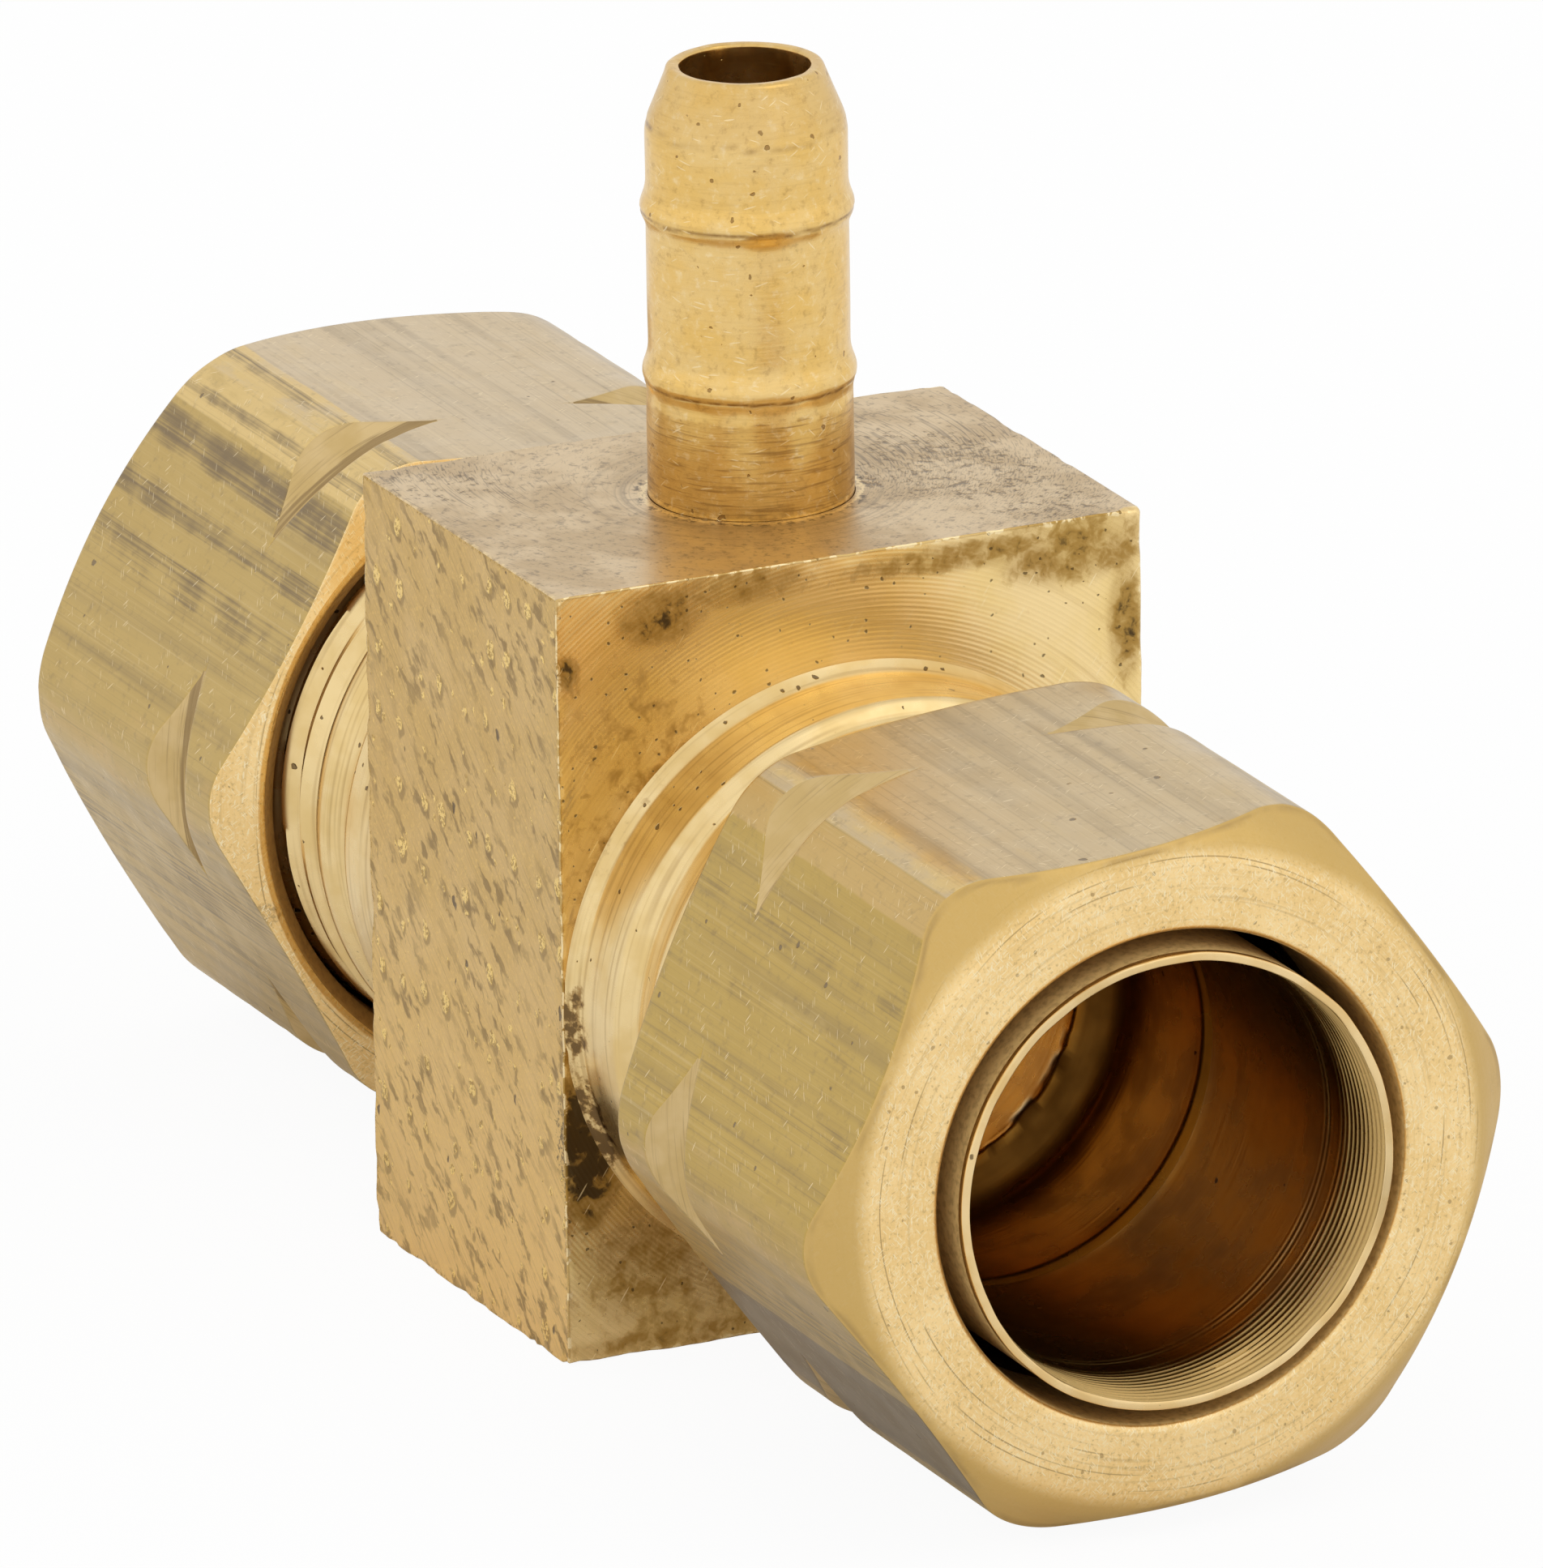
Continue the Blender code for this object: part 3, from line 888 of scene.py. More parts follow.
@dataclass(frozen=True)
class NutEndBrass(Finish):
    """Turned ends of a nut: pale, with fine crossing scratches, hairlines and a few smudges."""

    pale: Colour = (0.99, 0.725, 0.345)
    deep: Colour = (0.91, 0.64, 0.275)
    hairline: Colour = (0.32, 0.205, 0.085)
    bright: Colour = (1.0, 0.86, 0.56)
    slope: Colour = (0.62, 0.41, 0.135)
    hairlines: tuple[float, ...] = (8.6, 9.0, 9.14, 9.36, 9.6)
    hairline_width: float = 0.03
    wander: float = 0.5
    apart: float = 31.0
    hair_size: Place = (0.34, 0.34, 0.035)
    hair_turns: tuple[Place, ...] = ((40.0, 10.0, 0.0), (-30.0, 50.0, 20.0), (85.0, 0.0, 40.0))
    ring_width: float = 0.12
    ring_depth: float = 0.003
    grit_depth: float = 0.004
    roughness: Span = (0.3, 0.38)

    def lay(self, brass: Brass) -> Value:
        """Lays the colours and reliefs on.

        Args:
            brass: The material.

        Returns:
            Its roughness.
        """
        radius = brass.from_run()
        rings = brass.rings(radius, self.ring_width)
        cloud = brass.noise(0.45)
        grit = brass.noise(8.0, 3.0, 0.65)
        brass.base(brass.ramp(cloud, 0.35, 0.65), self.pale, self.deep)
        brass.coat(self.bright, brass.ramp(grit, 0.52, 0.7, 0.0, 0.45))
        brass.coat(self.hairline, brass.ramp(grit, 0.46, 0.28, 0.0, 0.4))
        brass.coat(self.hairline, brass.specks(brass.warped(0.15, 4.0), 0.13, 0.2, 2.2), 0.6)
        brass.coat(self.hairline, brass.ramp(rings, 0.5, 0.8, 0.0, 0.3))
        drift = brass.ramp(brass.noise(0.06, 1.0), 0.2, 0.8, -self.wander, self.wander)
        drifted = brass.plus(radius, drift)
        for number, hairline in enumerate(self.hairlines):
            shifted = brass.vector("ADD", brass.at, (self.apart * number, 0.0, 0.0))
            part = brass.ramp(brass.noise(0.25, 2.0, at=shifted), 0.48, 0.62)
            line = brass.ramp(brass.away(drifted, hairline), self.hairline_width, 0.0)
            brass.coat(self.hairline, brass.times(line, part), 0.8)
        smudge = brass.specks(brass.warped(0.4, 2.0), 0.16, 0.4, 0.35)
        brass.coat(self.hairline, brass.times(smudge, brass.ramp(grit, 0.4, 0.6)), 0.6)
        brass.hairs(self.bright, self.hair_size, self.hair_turns, 0.3, 0.6, 0.75)
        brass.coat(self.slope, brass.mark("slope"), 0.92)
        patches = brass.ramp(cloud, 0.4, 0.6, 0.0, 0.5)
        brass.coat(self.hairline, brass.times(brass.mark("lip"), patches))
        brass.press(grit, self.grit_depth)
        brass.press(rings, self.ring_depth)
        return brass.swing(cloud, *self.roughness)


@dataclass(frozen=True)
class SleeveBrass(Finish):
    """Thin sleeve: pale turned brass with dark bits."""

    pale: Colour = (0.88, 0.66, 0.34)
    warm: Colour = (0.78, 0.54, 0.23)
    dark: Colour = (0.14, 0.09, 0.04)
    mark_size: Place = (0.12, 6.0, 6.0)
    mark_depth: float = 0.004
    roughness: Span = (0.22, 0.3)

    def lay(self, brass: Brass) -> Value:
        """Lays the colours and reliefs on.

        Args:
            brass: The material.

        Returns:
            Its roughness.
        """
        marks = brass.grain(self.mark_size)
        cloud = brass.noise(0.6)
        brass.base(brass.ramp(cloud, 0.35, 0.7), self.pale, self.warm)
        brass.coat(self.dark, brass.ramp(marks, 0.5, 0.8, 0.0, 0.35))
        brass.coat(self.dark, brass.specks(brass.warped(0.2, 4.0), 0.12, 0.3, 1.3), 0.85)
        brass.press(marks, self.mark_depth)
        return brass.swing(cloud, *self.roughness)


@dataclass(frozen=True)
class StemBrass(Finish):
    """Hose stem: bright turned gold with blots, fine scratches and brown lines under the barbs."""

    gold: Colour = (0.86, 0.56, 0.175)
    pale: Colour = (0.88, 0.615, 0.245)
    brown: Colour = (0.30, 0.16, 0.05)
    base: Colour = (0.70, 0.42, 0.115)
    bright: Colour = (1.0, 0.82, 0.50)
    block_top: float = 22.895
    base_height: float = 2.86
    base_edge: float = 0.08
    nose_start: float = 33.7
    nose_fade: float = 0.6
    mark_size: Place = (1.3, 1.3, 0.08)
    mark_depth: float = 0.003
    blot_depth: float = 0.02
    hair_size: Place = (0.6, 0.6, 0.05)
    hair_turns: tuple[Place, ...] = ((25.0, 30.0, 0.0), (-50.0, 15.0, 60.0))
    roughness: Span = (0.2, 0.3)

    def lay(self, brass: Brass) -> Value:
        """Lays the colours and reliefs on.

        Args:
            brass: The material.

        Returns:
            Its roughness.
        """
        marks = brass.grain(self.mark_size)
        cloud = brass.noise(0.7)
        ragged = brass.noise(1.7, 4.0)
        height = brass.height()
        top = self.block_top + self.base_height
        level = brass.plus(height, brass.swing(ragged, -0.1, 0.1))
        low = brass.ramp(level, top + self.base_edge, top - self.base_edge)
        brass.base(brass.ramp(cloud, 0.35, 0.65), self.gold, self.pale)
        brass.coat(self.base, low, 0.8)
        mottle = brass.noise(3.2, 5.0, 0.7)
        brass.coat(self.brown, brass.ramp(mottle, 0.52, 0.72, 0.0, 0.36))
        brass.coat(self.bright, brass.ramp(mottle, 0.47, 0.27, 0.0, 0.5))
        nose_end = self.nose_start + self.nose_fade
        brass.coat(self.brown, brass.ramp(height, self.nose_start, nose_end, 0.0, 0.2))
        lined = brass.ramp(low, 0.0, 1.0, 0.1, 0.65)
        brass.coat(self.brown, brass.times(brass.ramp(marks, 0.48, 0.7), lined))
        worn = brass.ramp(ragged, 0.4, 0.55, 0.4, 1.0)
        brass.coat(self.brown, brass.times(brass.mark("line"), worn))
        blots = brass.specks(brass.warped(0.35, 3.0), 0.14, 0.6, 2.0)
        brass.coat(self.brown, blots, 0.8)
        brass.hairs(self.bright, self.hair_size, self.hair_turns, 0.3, 0.12, 0.55)
        brass.press(marks, self.mark_depth)
        brass.sink(blots, self.blot_depth)
        return brass.swing(cloud, *self.roughness)


@dataclass
class Skin:
    """The skin of a ring-shaped piece: a grid of points that closes both along and around.

    Attributes:
        places: Points in millimetres, as rows by columns by coordinates.
        zones: The finish of the face after each point.
        marks: Numbers that the finishes read, one to a point.
    """

    places: Grid
    zones: Grid
    marks: dict[str, Grid] = field(default_factory=dict)

    def corners(self) -> Grid:
        """Joins the points into faces that look outward.

        Returns:
            The four point numbers of each face.
        """
        rows, columns = self.places.shape[:2]
        here = np.arange(rows * columns).reshape(rows, columns)
        after = np.roll(here, -1, axis=0)
        faces = np.stack([here, np.roll(here, -1, 1), np.roll(after, -1, 1), after], axis=-1)
        points = self.places.reshape(-1, 3)[faces.reshape(-1, 4)]
        middle = points.mean(axis=1)
        across = np.cross(points[:, 2] - points[:, 0], points[:, 3] - points[:, 1])
        inside_out = np.einsum("ij,ij->", middle, across) < 0
        return faces[..., ::-1] if inside_out else faces

    def unrolled(self, turned: bool) -> Grid:
        """The skin laid flat as one square map.

        Args:
            turned: Whether the faces' corners run the other way round.

        Returns:
            Flat places of each face's corners.
        """
        rows, columns = self.places.shape[:2]
        spans = np.linalg.norm(np.roll(self.places, -1, 0) - self.places, axis=2).mean(axis=1)
        down = np.concatenate([[0.0], np.cumsum(spans)]) / spans.sum()
        over = np.arange(columns + 1) / columns
        flat = np.empty((rows, columns, 4, 2))
        flat[..., 0] = np.stack([over[:-1], over[1:], over[1:], over[:-1]], axis=-1)[None]
        flat[..., 1] = np.stack([down[:-1], down[:-1], down[1:], down[1:]], axis=-1)[:, None]
        return flat[..., ::-1, :] if turned else flat

    def make(self, name: str, finishes: list[Finish], crease: float = 40.0) -> bpy.types.Object:
        """The skin as a Blender object.

        Args:
            name: The piece's name.
            finishes: The finishes, in the order of the zones.
            crease: The angle above which an edge stays sharp.

        Returns:
            The new object.
        """
        faces = self.corners()
        mesh = bpy.data.meshes.new(name)
        points = (self.places * MM).reshape(-1, 3)
        mesh.from_pydata(points.tolist(), [], faces.reshape(-1, 4).tolist())
        for finish in finishes:
            mesh.materials.append(finish.make(f"{name}_{type(finish).__name__}"))
        mesh.polygons.foreach_set("material_index", self.zones.astype(np.int32).ravel())
        for mark, values in self.marks.items():
            layer = mesh.attributes.new(mark, "FLOAT", "POINT")
            layer.data.foreach_set("value", values.astype(np.float32).ravel())
        flat = mesh.uv_layers.new(name="OFBake")
        turned = bool(faces[0, 0, 0] != 0)
        flat.data.foreach_set("uv", self.unrolled(turned).astype(np.float32).ravel())
        mesh.shade_smooth()
        mesh.set_sharp_from_angle(angle=math.radians(crease))
        return placed(name, mesh)


@dataclass(frozen=True)
class Corner:
    """A corner of a turned outline.

    Attributes:
        along: Its place along the axis.
        out: Its distance from the axis.
        ease: How far before and after the corner its rounding begins.
        zone: The finish from this corner to the next.
        step: The longest way between two rows from here to the next corner.
    """

    along: float
    out: float
    ease: float = 0.0
    zone: int = 0
    step: float = 1.0


EASE_ROWS = 6
LEAST_GAP = 1e-9


def eased_outline(corners: list[Corner], closed: bool = True) -> tuple[Grid, Grid]:
    """Rows of a turned outline with rounded corners.

    Args:
        corners: The outline's corners in order.
        closed: Whether the last corner runs back to the first.

    Returns:
        The rows as (along, out), and the finish after each row.
    """
    places = np.array([(corner.along, corner.out) for corner in corners])
    rows: list[Grid] = []
    zones: list[int] = []
    count = len(corners)
    for i, corner in enumerate(corners):
        here = places[i]
        ends = not closed and i in (0, count - 1)
        to_last = places[i - 1] - here
        to_next = places[(i + 1) % count] - here
        if corner.ease and not ends:
            before = here + to_last * corner.ease / np.linalg.norm(to_last)
            after = here + to_next * corner.ease / np.linalg.norm(to_next)
            for share in np.linspace(0.0, 1.0, EASE_ROWS):
                inner = before * (1 - share) + here * share
                outer = here * (1 - share) + after * share
                rows.append(inner * (1 - share) + outer * share)
                zones.append(corner.zone if share >= 0.5 else corners[i - 1].zone)
        else:
            after = here
            rows.append(here)
            zones.append(corner.zone)
        if not closed and i == count - 1:
            break
        following = corners[(i + 1) % count]
        last_one = not closed and i + 1 == count - 1
        short = 0.0 if last_one else following.ease
        span = max(np.linalg.norm(to_next), LEAST_GAP)
        target = places[(i + 1) % count] - to_next * short / span
        gap = np.linalg.norm(target - after)
        inner_rows = max(int(math.ceil(gap / corner.step)), 1)
        for k in range(1, inner_rows):
            rows.append(after + (target - after) * k / inner_rows)
            zones.append(corner.zone)
    return np.array(rows), np.array(zones)


THREAD_PITCH = 1.27
THREAD_TOP = 1.25
THREAD_SLOPE = 3.0


def thread_rise(along: Grid | float, angles: Grid) -> Grid:
    """The right-hand thread of spigots and nuts, from 0 at its root to 1 at its crest."""
    phase = (along / THREAD_PITCH - angles / (2 * math.pi)) % 1.0
    return np.clip(THREAD_TOP - THREAD_SLOPE * np.abs(phase - 0.5), 0.0, 1.0)


def set_on_run(places: Grid, node: str, side: int) -> Grid:
    """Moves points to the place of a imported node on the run.

    Args:
        places: Points along and round the run axis, from the node's inner end.
        node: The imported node.
        side: 1 at the front end of the run, -1 at the rear end.

    Returns:
        The points in the shared frame.
    """
    low, high = node_box(node)
    start = low[0] if side > 0 else high[0]
    return places * np.array([side, 1.0, 1.0]) + np.array([start, 0.0, RUN_HEIGHT])


def dress(piece: bpy.types.Object, body: str, node: str) -> None:
    """Puts a piece on its body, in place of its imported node.

    Args:
        piece: The finished piece.
        body: The body that carries it.
        node: The node that it stands for.
    """
    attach(piece, body)
    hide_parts(node)
    LOG.info("%s rides on %s with %d faces", piece.name, body, len(piece.data.polygons))


@dataclass(frozen=True)
class Stain:
    """A brown stain on the block: its middle, how far it reaches, and how strong it is."""

    middle: Place
    reach: Place
    strength: float = 1.0


class BodyZone(IntEnum):
    """Finishes of the body."""

    SAWN = 0
    MILLED = 1
    FACED = 2
    TURNED = 3
    BORED = 4
    SOCKET = 5


@dataclass
class TeeBody:
    """The block, with a turned boss and a threaded spigot at each end of its run.

    Lengths along the run are from its middle and radii from its axis. A band, fade, margin or reach
    is the stretch over which a feature starts or stops, and a Ripple is a pattern of unevenness.
    """

    half_length: float = 6.6
    fillet_length: float = 0.45
    fillet_height: float = 0.33
    fillet_curve: float = 1.2
    fillet_rows: int = 7
    boss_radius: float = 8.8
    boss_end: float = 9.35
    boss_slope: float = 0.35
    boss_ease: float = 0.2
    boss_step: float = 0.3
    relief_radius: float = 8.3
    thread_start: float = 10.65
    thread_fade: Span = (-0.2, 0.6)
    thread_cut: float = 11.7
    cut_fade: Span = (-0.4, 0.4)
    thread_crest: float = 8.66
    thread_depth: float = 0.56
    thread_rows: int = 8
    tip_length: float = 0.5
    tip_drop: float = 0.35
    seat_radius: float = 8.05
    socket_radius: float = 6.4
    socket_start: float = 10.95
    bore_edge: float = 10.225
    shoulder_ease: float = 0.45
    shoulder_shade: float = 0.75
    bore_burr: float = 0.09
    bore_radius: float = 5.2
    bore_middle: float = 0.25
    hole_radius: float = 2.97
    branch_bore: float = 1.87
    ledge_height: float = 7.1
    cutter_rise: float = 2.0
    cutter_columns: int = 96
    round_bevel: float = 0.25
    round_corner: float = 0.15
    sharp_bevel: float = 0.045
    top_bevel: float = 0.06
    base_bevel: float = 0.15
    bevel_room: float = 0.7
    side_band: float = 0.5
    base_band: float = 0.3
    level_band: float = 0.03
    column_step: float = 0.31
    corner_columns: int = 5
    side_rows: int = 30
    face_rows: int = 22
    bevel_rows: int = 4
    sawn_burr: float = 0.06
    sawn_band: Span = (0.6, 0.3)
    plain_burr: float = 0.03
    torn_band: Span = (0.6, 0.1)
    torn_edge: Span = (0.55, 0.05)
    torn_least: float = -0.25
    tears: Ripple = Ripple(1.7, 3)
    fine_tears: Ripple = Ripple(3.6, 4, 0.5)
    saw_slope: Span = (0.6, 0.75)
    saw_stretch: float = 0.35
    saw_margin: Span = (0.2, 0.8)
    saw_wave: Ripple = Ripple(1.4, 9, 0.02)
    off_block: float = 9.0
    block_skin: float = 0.02
    burrs: Ripple = Ripple(1.6, 51)
    fine_burrs: Ripple = Ripple(4.0, 52, 0.6)
    burr_least: float = -0.2
    burr_reach: Span = (0.4, 0.06)
    burr_dark: Span = (-0.1, 0.5)
    shoulder_inner: Span = (0.05, 0.2)
    shoulder_outer: Span = (0.02, 0.25)
    stain_edge: Span = (1.3, 0.35)
    # The lining's dark colour paints the burr and the painted shade on the shoulder.
    lining: BoredBrass = BoredBrass((0.46, 0.25, 0.05), (0.32, 0.165, 0.03), (0.11, 0.036, 0.005))
    stains: tuple[Stain, ...] = (
        Stain((6.6, -6.0, 21.9), (1.0, 1.5, 1.0), 0.8),
        Stain((6.6, -3.4, 22.4), (1.0, 2.6, 0.6), 0.62),
        Stain((6.6, 3.5, 22.3), (1.0, 4.5, 0.5), 0.66),
        Stain((6.6, 7.0, 21.9), (1.0, 2.6, 1.0), 0.72),
        Stain((6.6, 8.6, 19.6), (1.0, 0.6, 1.9), 0.84),
        Stain((6.6, -8.9, 20.6), (0.6, 0.5, 0.6), 0.95),
        Stain((6.6, -8.8, 10.2), (1.0, 0.7, 1.8), 0.95),
        Stain((6.6, -8.5, 6.6), (1.2, 1.2, 2.8), 1.2),
        Stain((6.6, -6.6, 2.6), (1.0, 2.4, 2.2), 0.55),
        Stain((6.6, -5.0, 0.4), (1.0, 5.0, 0.45), 0.6),
        Stain((6.6, -6.5, 15.0), (1.0, 3.4, 7.0), 0.41),
        Stain((6.6, -1.5, 1.5), (1.0, 8.0, 3.0), 0.42),
        Stain((-5.0, -9.17, 6.0), (1.6, 1.0, 4.0), 0.4),
        Stain((-4.6, -7.6, 22.9), (3.0, 2.6, 1.0), 0.62),
        Stain((5.0, 7.0, 22.9), (2.4, 3.0, 1.0), 0.68),
        Stain((0.5, 6.2, 22.9), (6.0, 4.0, 1.0), 0.74),
        Stain((0.9, 3.3, 22.9), (0.7, 0.6, 0.8), 1.0),
        Stain((-3.5, 4.0, 22.9), (3.0, 4.0, 1.0), 0.55),
    )

    def __post_init__(self) -> None:
        """Takes the block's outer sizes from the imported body."""
        low, high = node_box("tee_body")
        self.half_width = float(high[1])
        self.top = float(high[2]) - RUN_HEIGHT
        self.base = float(low[2]) - RUN_HEIGHT
        self.spigot_end = float(high[0])
        self.ring = self.block_ring()
        self.angles = np.arctan2(self.ring[:, 1], self.ring[:, 0])

    def block_ring(self) -> Grid:
        """The block's cross-section.

        Returns:
            Points round it as (across, up) from the run axis.
        """
        rounds = (self.round_corner, self.top_bevel, self.sharp_bevel, self.base_bevel)
        corners = (
            (self.half_width, self.top),
            (-self.half_width, self.top),
            (-self.half_width, self.base),
            (self.half_width, self.base),
        )
        arcs = []
        for quarter, ((across, up), radius) in enumerate(zip(corners, rounds)):
            centre = np.array([across, up]) - radius * np.sign([across, up])
            turn = (quarter + np.linspace(0.0, 1.0, self.corner_columns)) * math.pi / 2
            arcs.append(centre + radius * np.stack([np.cos(turn), np.sin(turn)], axis=1))
        ring = []
        for arc, following in zip(arcs, arcs[1:] + arcs[:1]):
            ring.append(arc)
            way = following[0] - arc[-1]
            steps = int(np.linalg.norm(way) / self.column_step)
            ring.append(arc[-1] + way * (np.arange(1, steps) / steps)[:, None])
        return np.concatenate(ring)

    def bevels(self) -> Grid:
        """How far the edge of an end face is broken.

        Returns:
            The width of the bevel at each column.
        """
        across, up = self.ring[:, 0], self.ring[:, 1]
        bevel = np.full(len(across), self.sharp_bevel)
        bevel = np.where(across > self.half_width - self.side_band, self.round_bevel, bevel)
        bevel = np.where(up < self.base + self.base_band, self.base_bevel, bevel)
        room = np.hypot(across, up) - (self.boss_radius + self.fillet_height)
        return np.minimum(bevel, self.bevel_room * room)

    def thread(self, along: float) -> Grid:
        """The spigot's right-hand thread.

        Args:
            along: The place along the run.

        Returns:
            The radius at each column.
        """
        rise = thread_rise(along, self.angles)
        far = np.array(abs(along))
        fade = smooth_step(far, *(self.thread_start + end for end in self.thread_fade))
        cut = smooth_step(far, *(self.thread_cut + end for end in self.cut_fade))
        tip = smooth_step(self.spigot_end - far, 0.0, self.tip_length)
        crest = self.thread_crest - self.tip_drop * (1 - tip)
        groove = self.thread_depth * cut * (1.0 - rise) * tip
        return crest - groove - (1 - fade) * (crest - self.relief_radius)

    def circle(self, along: float, radius: Grid | float) -> Grid:
        """A row of points round the run axis, at one place along it."""
        across, up = radius * np.cos(self.angles), radius * np.sin(self.angles)
        return np.column_stack([np.full(self.angles.shape, along), across, up])

    def block_rows(self) -> tuple[list[Grid], list[int]]:
        """Rows from the middle of the block's sides to the boss, for the front end.

        Returns:
            The rows, and the finish after each of them.
        """
        rows: list[Grid] = []
        zones: list[int] = []
        bevel = self.bevels()
        flat = np.hypot(self.ring[:, 0], self.ring[:, 1])
        out = self.ring / flat[:, None]
        for share in np.sin(np.pi / 2 * (np.arange(self.side_rows) + 0.5) / self.side_rows):
            along = share * (self.half_length - bevel)
            rows.append(np.column_stack([along, self.ring]))
            zones.append(BodyZone.SAWN)
        for turn in np.linspace(0.0, math.pi / 2, self.bevel_rows):
            along = self.half_length - bevel * (1 - math.sin(turn))
            drop = bevel * (1 - math.cos(turn))
            rows.append(np.column_stack([along, self.ring - out * drop[:, None]]))
            zones.append(BodyZone.FACED)
        rim = rows[-1]
        fillet = self.circle(self.half_length, self.boss_radius + self.fillet_height)
        for share in eased_steps(self.face_rows)[1:]:
            rows.append(rim * (1 - share) + fillet * share)
            zones.append(BodyZone.FACED)
        return rows, zones

    def run_corners(self) -> list[Corner]:
        """The turned outline from the block's face to the spigot's thread.

        Returns:
            The outline's corners.
        """
        corners = []
        for share in np.linspace(0.0, 1.0, self.fillet_rows):
            along = self.half_length + self.fillet_length * share
            out = self.boss_radius + self.fillet_height * (1 - share) ** self.fillet_curve
            corners.append(Corner(along, out, zone=BodyZone.TURNED))
        relief = self.boss_end + self.boss_slope
        for along, out in ((self.boss_end, self.boss_radius), (relief, self.relief_radius)):
            corners.append(Corner(along, out, self.boss_ease, BodyZone.TURNED, self.boss_step))
        start = self.thread_start + self.thread_fade[0]
        corners.append(Corner(start, self.relief_radius, zone=BodyZone.TURNED))
        return corners

    def bore_corners(self) -> list[Corner]:
        """The turned outline from the spigot's end to the middle of the bore.

        Returns:
            The outline's corners.
        """
        lip = self.spigot_end - (self.seat_radius - self.socket_radius)
        return [
            Corner(self.spigot_end, self.seat_radius + 0.1, 0.0, BodyZone.TURNED, 0.4),
            Corner(self.spigot_end, self.seat_radius, 0.04, BodyZone.SOCKET, 0.5),
            Corner(lip, self.socket_radius, 0.1, BodyZone.SOCKET, 0.7),
            Corner(self.socket_start, self.socket_radius, self.shoulder_ease, BodyZone.SOCKET, 0.4),
            Corner(self.bore_edge, self.bore_radius, 0.1, BodyZone.BORED, 0.15),
            Corner(self.bore_edge - 0.5, self.bore_radius, 0.0, BodyZone.BORED, 0.9),
            Corner(self.bore_middle, self.bore_radius, 0.0, BodyZone.BORED),
        ]

    def end_rows(self, side: int) -> tuple[list[Grid], list[int]]:
        """All rows of one half of the body.

        Args:
            side: 1 for the front half, -1 for the rear half.

        Returns:
            The rows, from the middle of the sides to the middle of the bore, and their finishes.
        """
        rows, zones = self.block_rows()
        outline, outline_zones = eased_outline(self.run_corners(), closed=False)
        rows += [self.circle(along, out) for along, out in outline]
        zones += list(outline_zones)
        step = THREAD_PITCH / self.thread_rows
        turns = np.arange(self.thread_start, self.spigot_end, step)
        mirror = np.array([side, 1.0, 1.0])
        rows = [row * mirror for row in rows]
        rows += [self.circle(side * along, self.thread(side * along)) for along in turns]
        zones += [BodyZone.TURNED] * len(turns)
        outline, outline_zones = eased_outline(self.bore_corners(), closed=False)
        rows += [self.circle(side * along, out) for along, out in outline]
        zones += list(outline_zones)
        return rows, zones

    def gaps(self, places: Grid) -> Grid:
        """How deep points lie under the block's nearest faces.

        Args:
            places: The points, from the run axis.

        Returns:
            The depth under an end, under a side, and under the top or base.
        """
        along, across, up = np.moveaxis(places, -1, 0)
        level = np.minimum(self.top - up, up - self.base)
        ends = self.half_length - np.abs(along)
        return np.stack([ends, self.half_width - np.abs(across), level], axis=-1)

    def edge_distance(self, places: Grid) -> Grid:
        """How far points lie from the block's nearest edge, or a large number off the block."""
        gaps = self.gaps(places)
        return np.where(gaps[..., 0] < -self.block_skin, self.off_block, np.median(abs(gaps), -1))

    def roughened(self, places: Grid, edge: Grid) -> Grid:
        """The block with torn edges and a wavy saw cut.

        Args:
            places: The smooth points.
            edge: How far each lies from the block's nearest edge.

        Returns:
            The moved points.
        """
        along, across, up = np.moveaxis(places, -1, 0)
        sawn = smooth_step(-across, *(self.half_width - inset for inset in self.sawn_band))
        depth = self.plain_burr + (self.sawn_burr - self.plain_burr) * sawn
        torn = np.maximum(self.tears.at(places) + self.fine_tears.at(places), self.torn_least)
        near = smooth_step(-edge, *(-reach for reach in self.torn_edge))
        close = smooth_step(-self.gaps(places), *(-inset for inset in self.torn_band))
        moved = places - np.sign(places) * close * (depth * torn * near)[..., None]
        slope, rise = self.saw_slope
        slanted = np.stack([slope * along + rise * up, across, self.saw_stretch * up], axis=-1)
        flat = sawn * smooth_step(edge, *self.saw_margin) * (edge < self.off_block)
        moved[..., 1] += self.saw_wave.at(slanted) * flat
        return moved

    def burred(self, places: Grid) -> tuple[Grid, Grid]:
        """The ragged edge where the socket meets the bore.

        Args:
            places: The points before the burr.

        Returns:
            The points with the burr, and how dark each point is: the burr's own dark bits and the
            painted shade on the shoulder.
        """
        radius = np.hypot(places[..., 1], places[..., 2])
        off = np.hypot(np.abs(places[..., 0]) - self.bore_edge, radius - self.bore_radius)
        torn = self.burrs.at(places) + self.fine_burrs.at(places)
        near = smooth_step(-off, *(-reach for reach in self.burr_reach))
        moved = places.copy()
        burr = self.bore_burr * near * np.maximum(torn, self.burr_least)
        moved[..., 1:] *= (1 - burr / radius)[..., None]
        # Painted shade: the shoulder between the bore and the socket is darkened.
        shoulder = smooth_step(radius, *(self.bore_radius + gap for gap in self.shoulder_inner))
        shoulder *= smooth_step(-radius, *(gap - self.socket_radius for gap in self.shoulder_outer))
        dark = near * smooth_step(torn, *self.burr_dark)
        return moved, np.maximum(dark, self.shoulder_shade * shoulder)

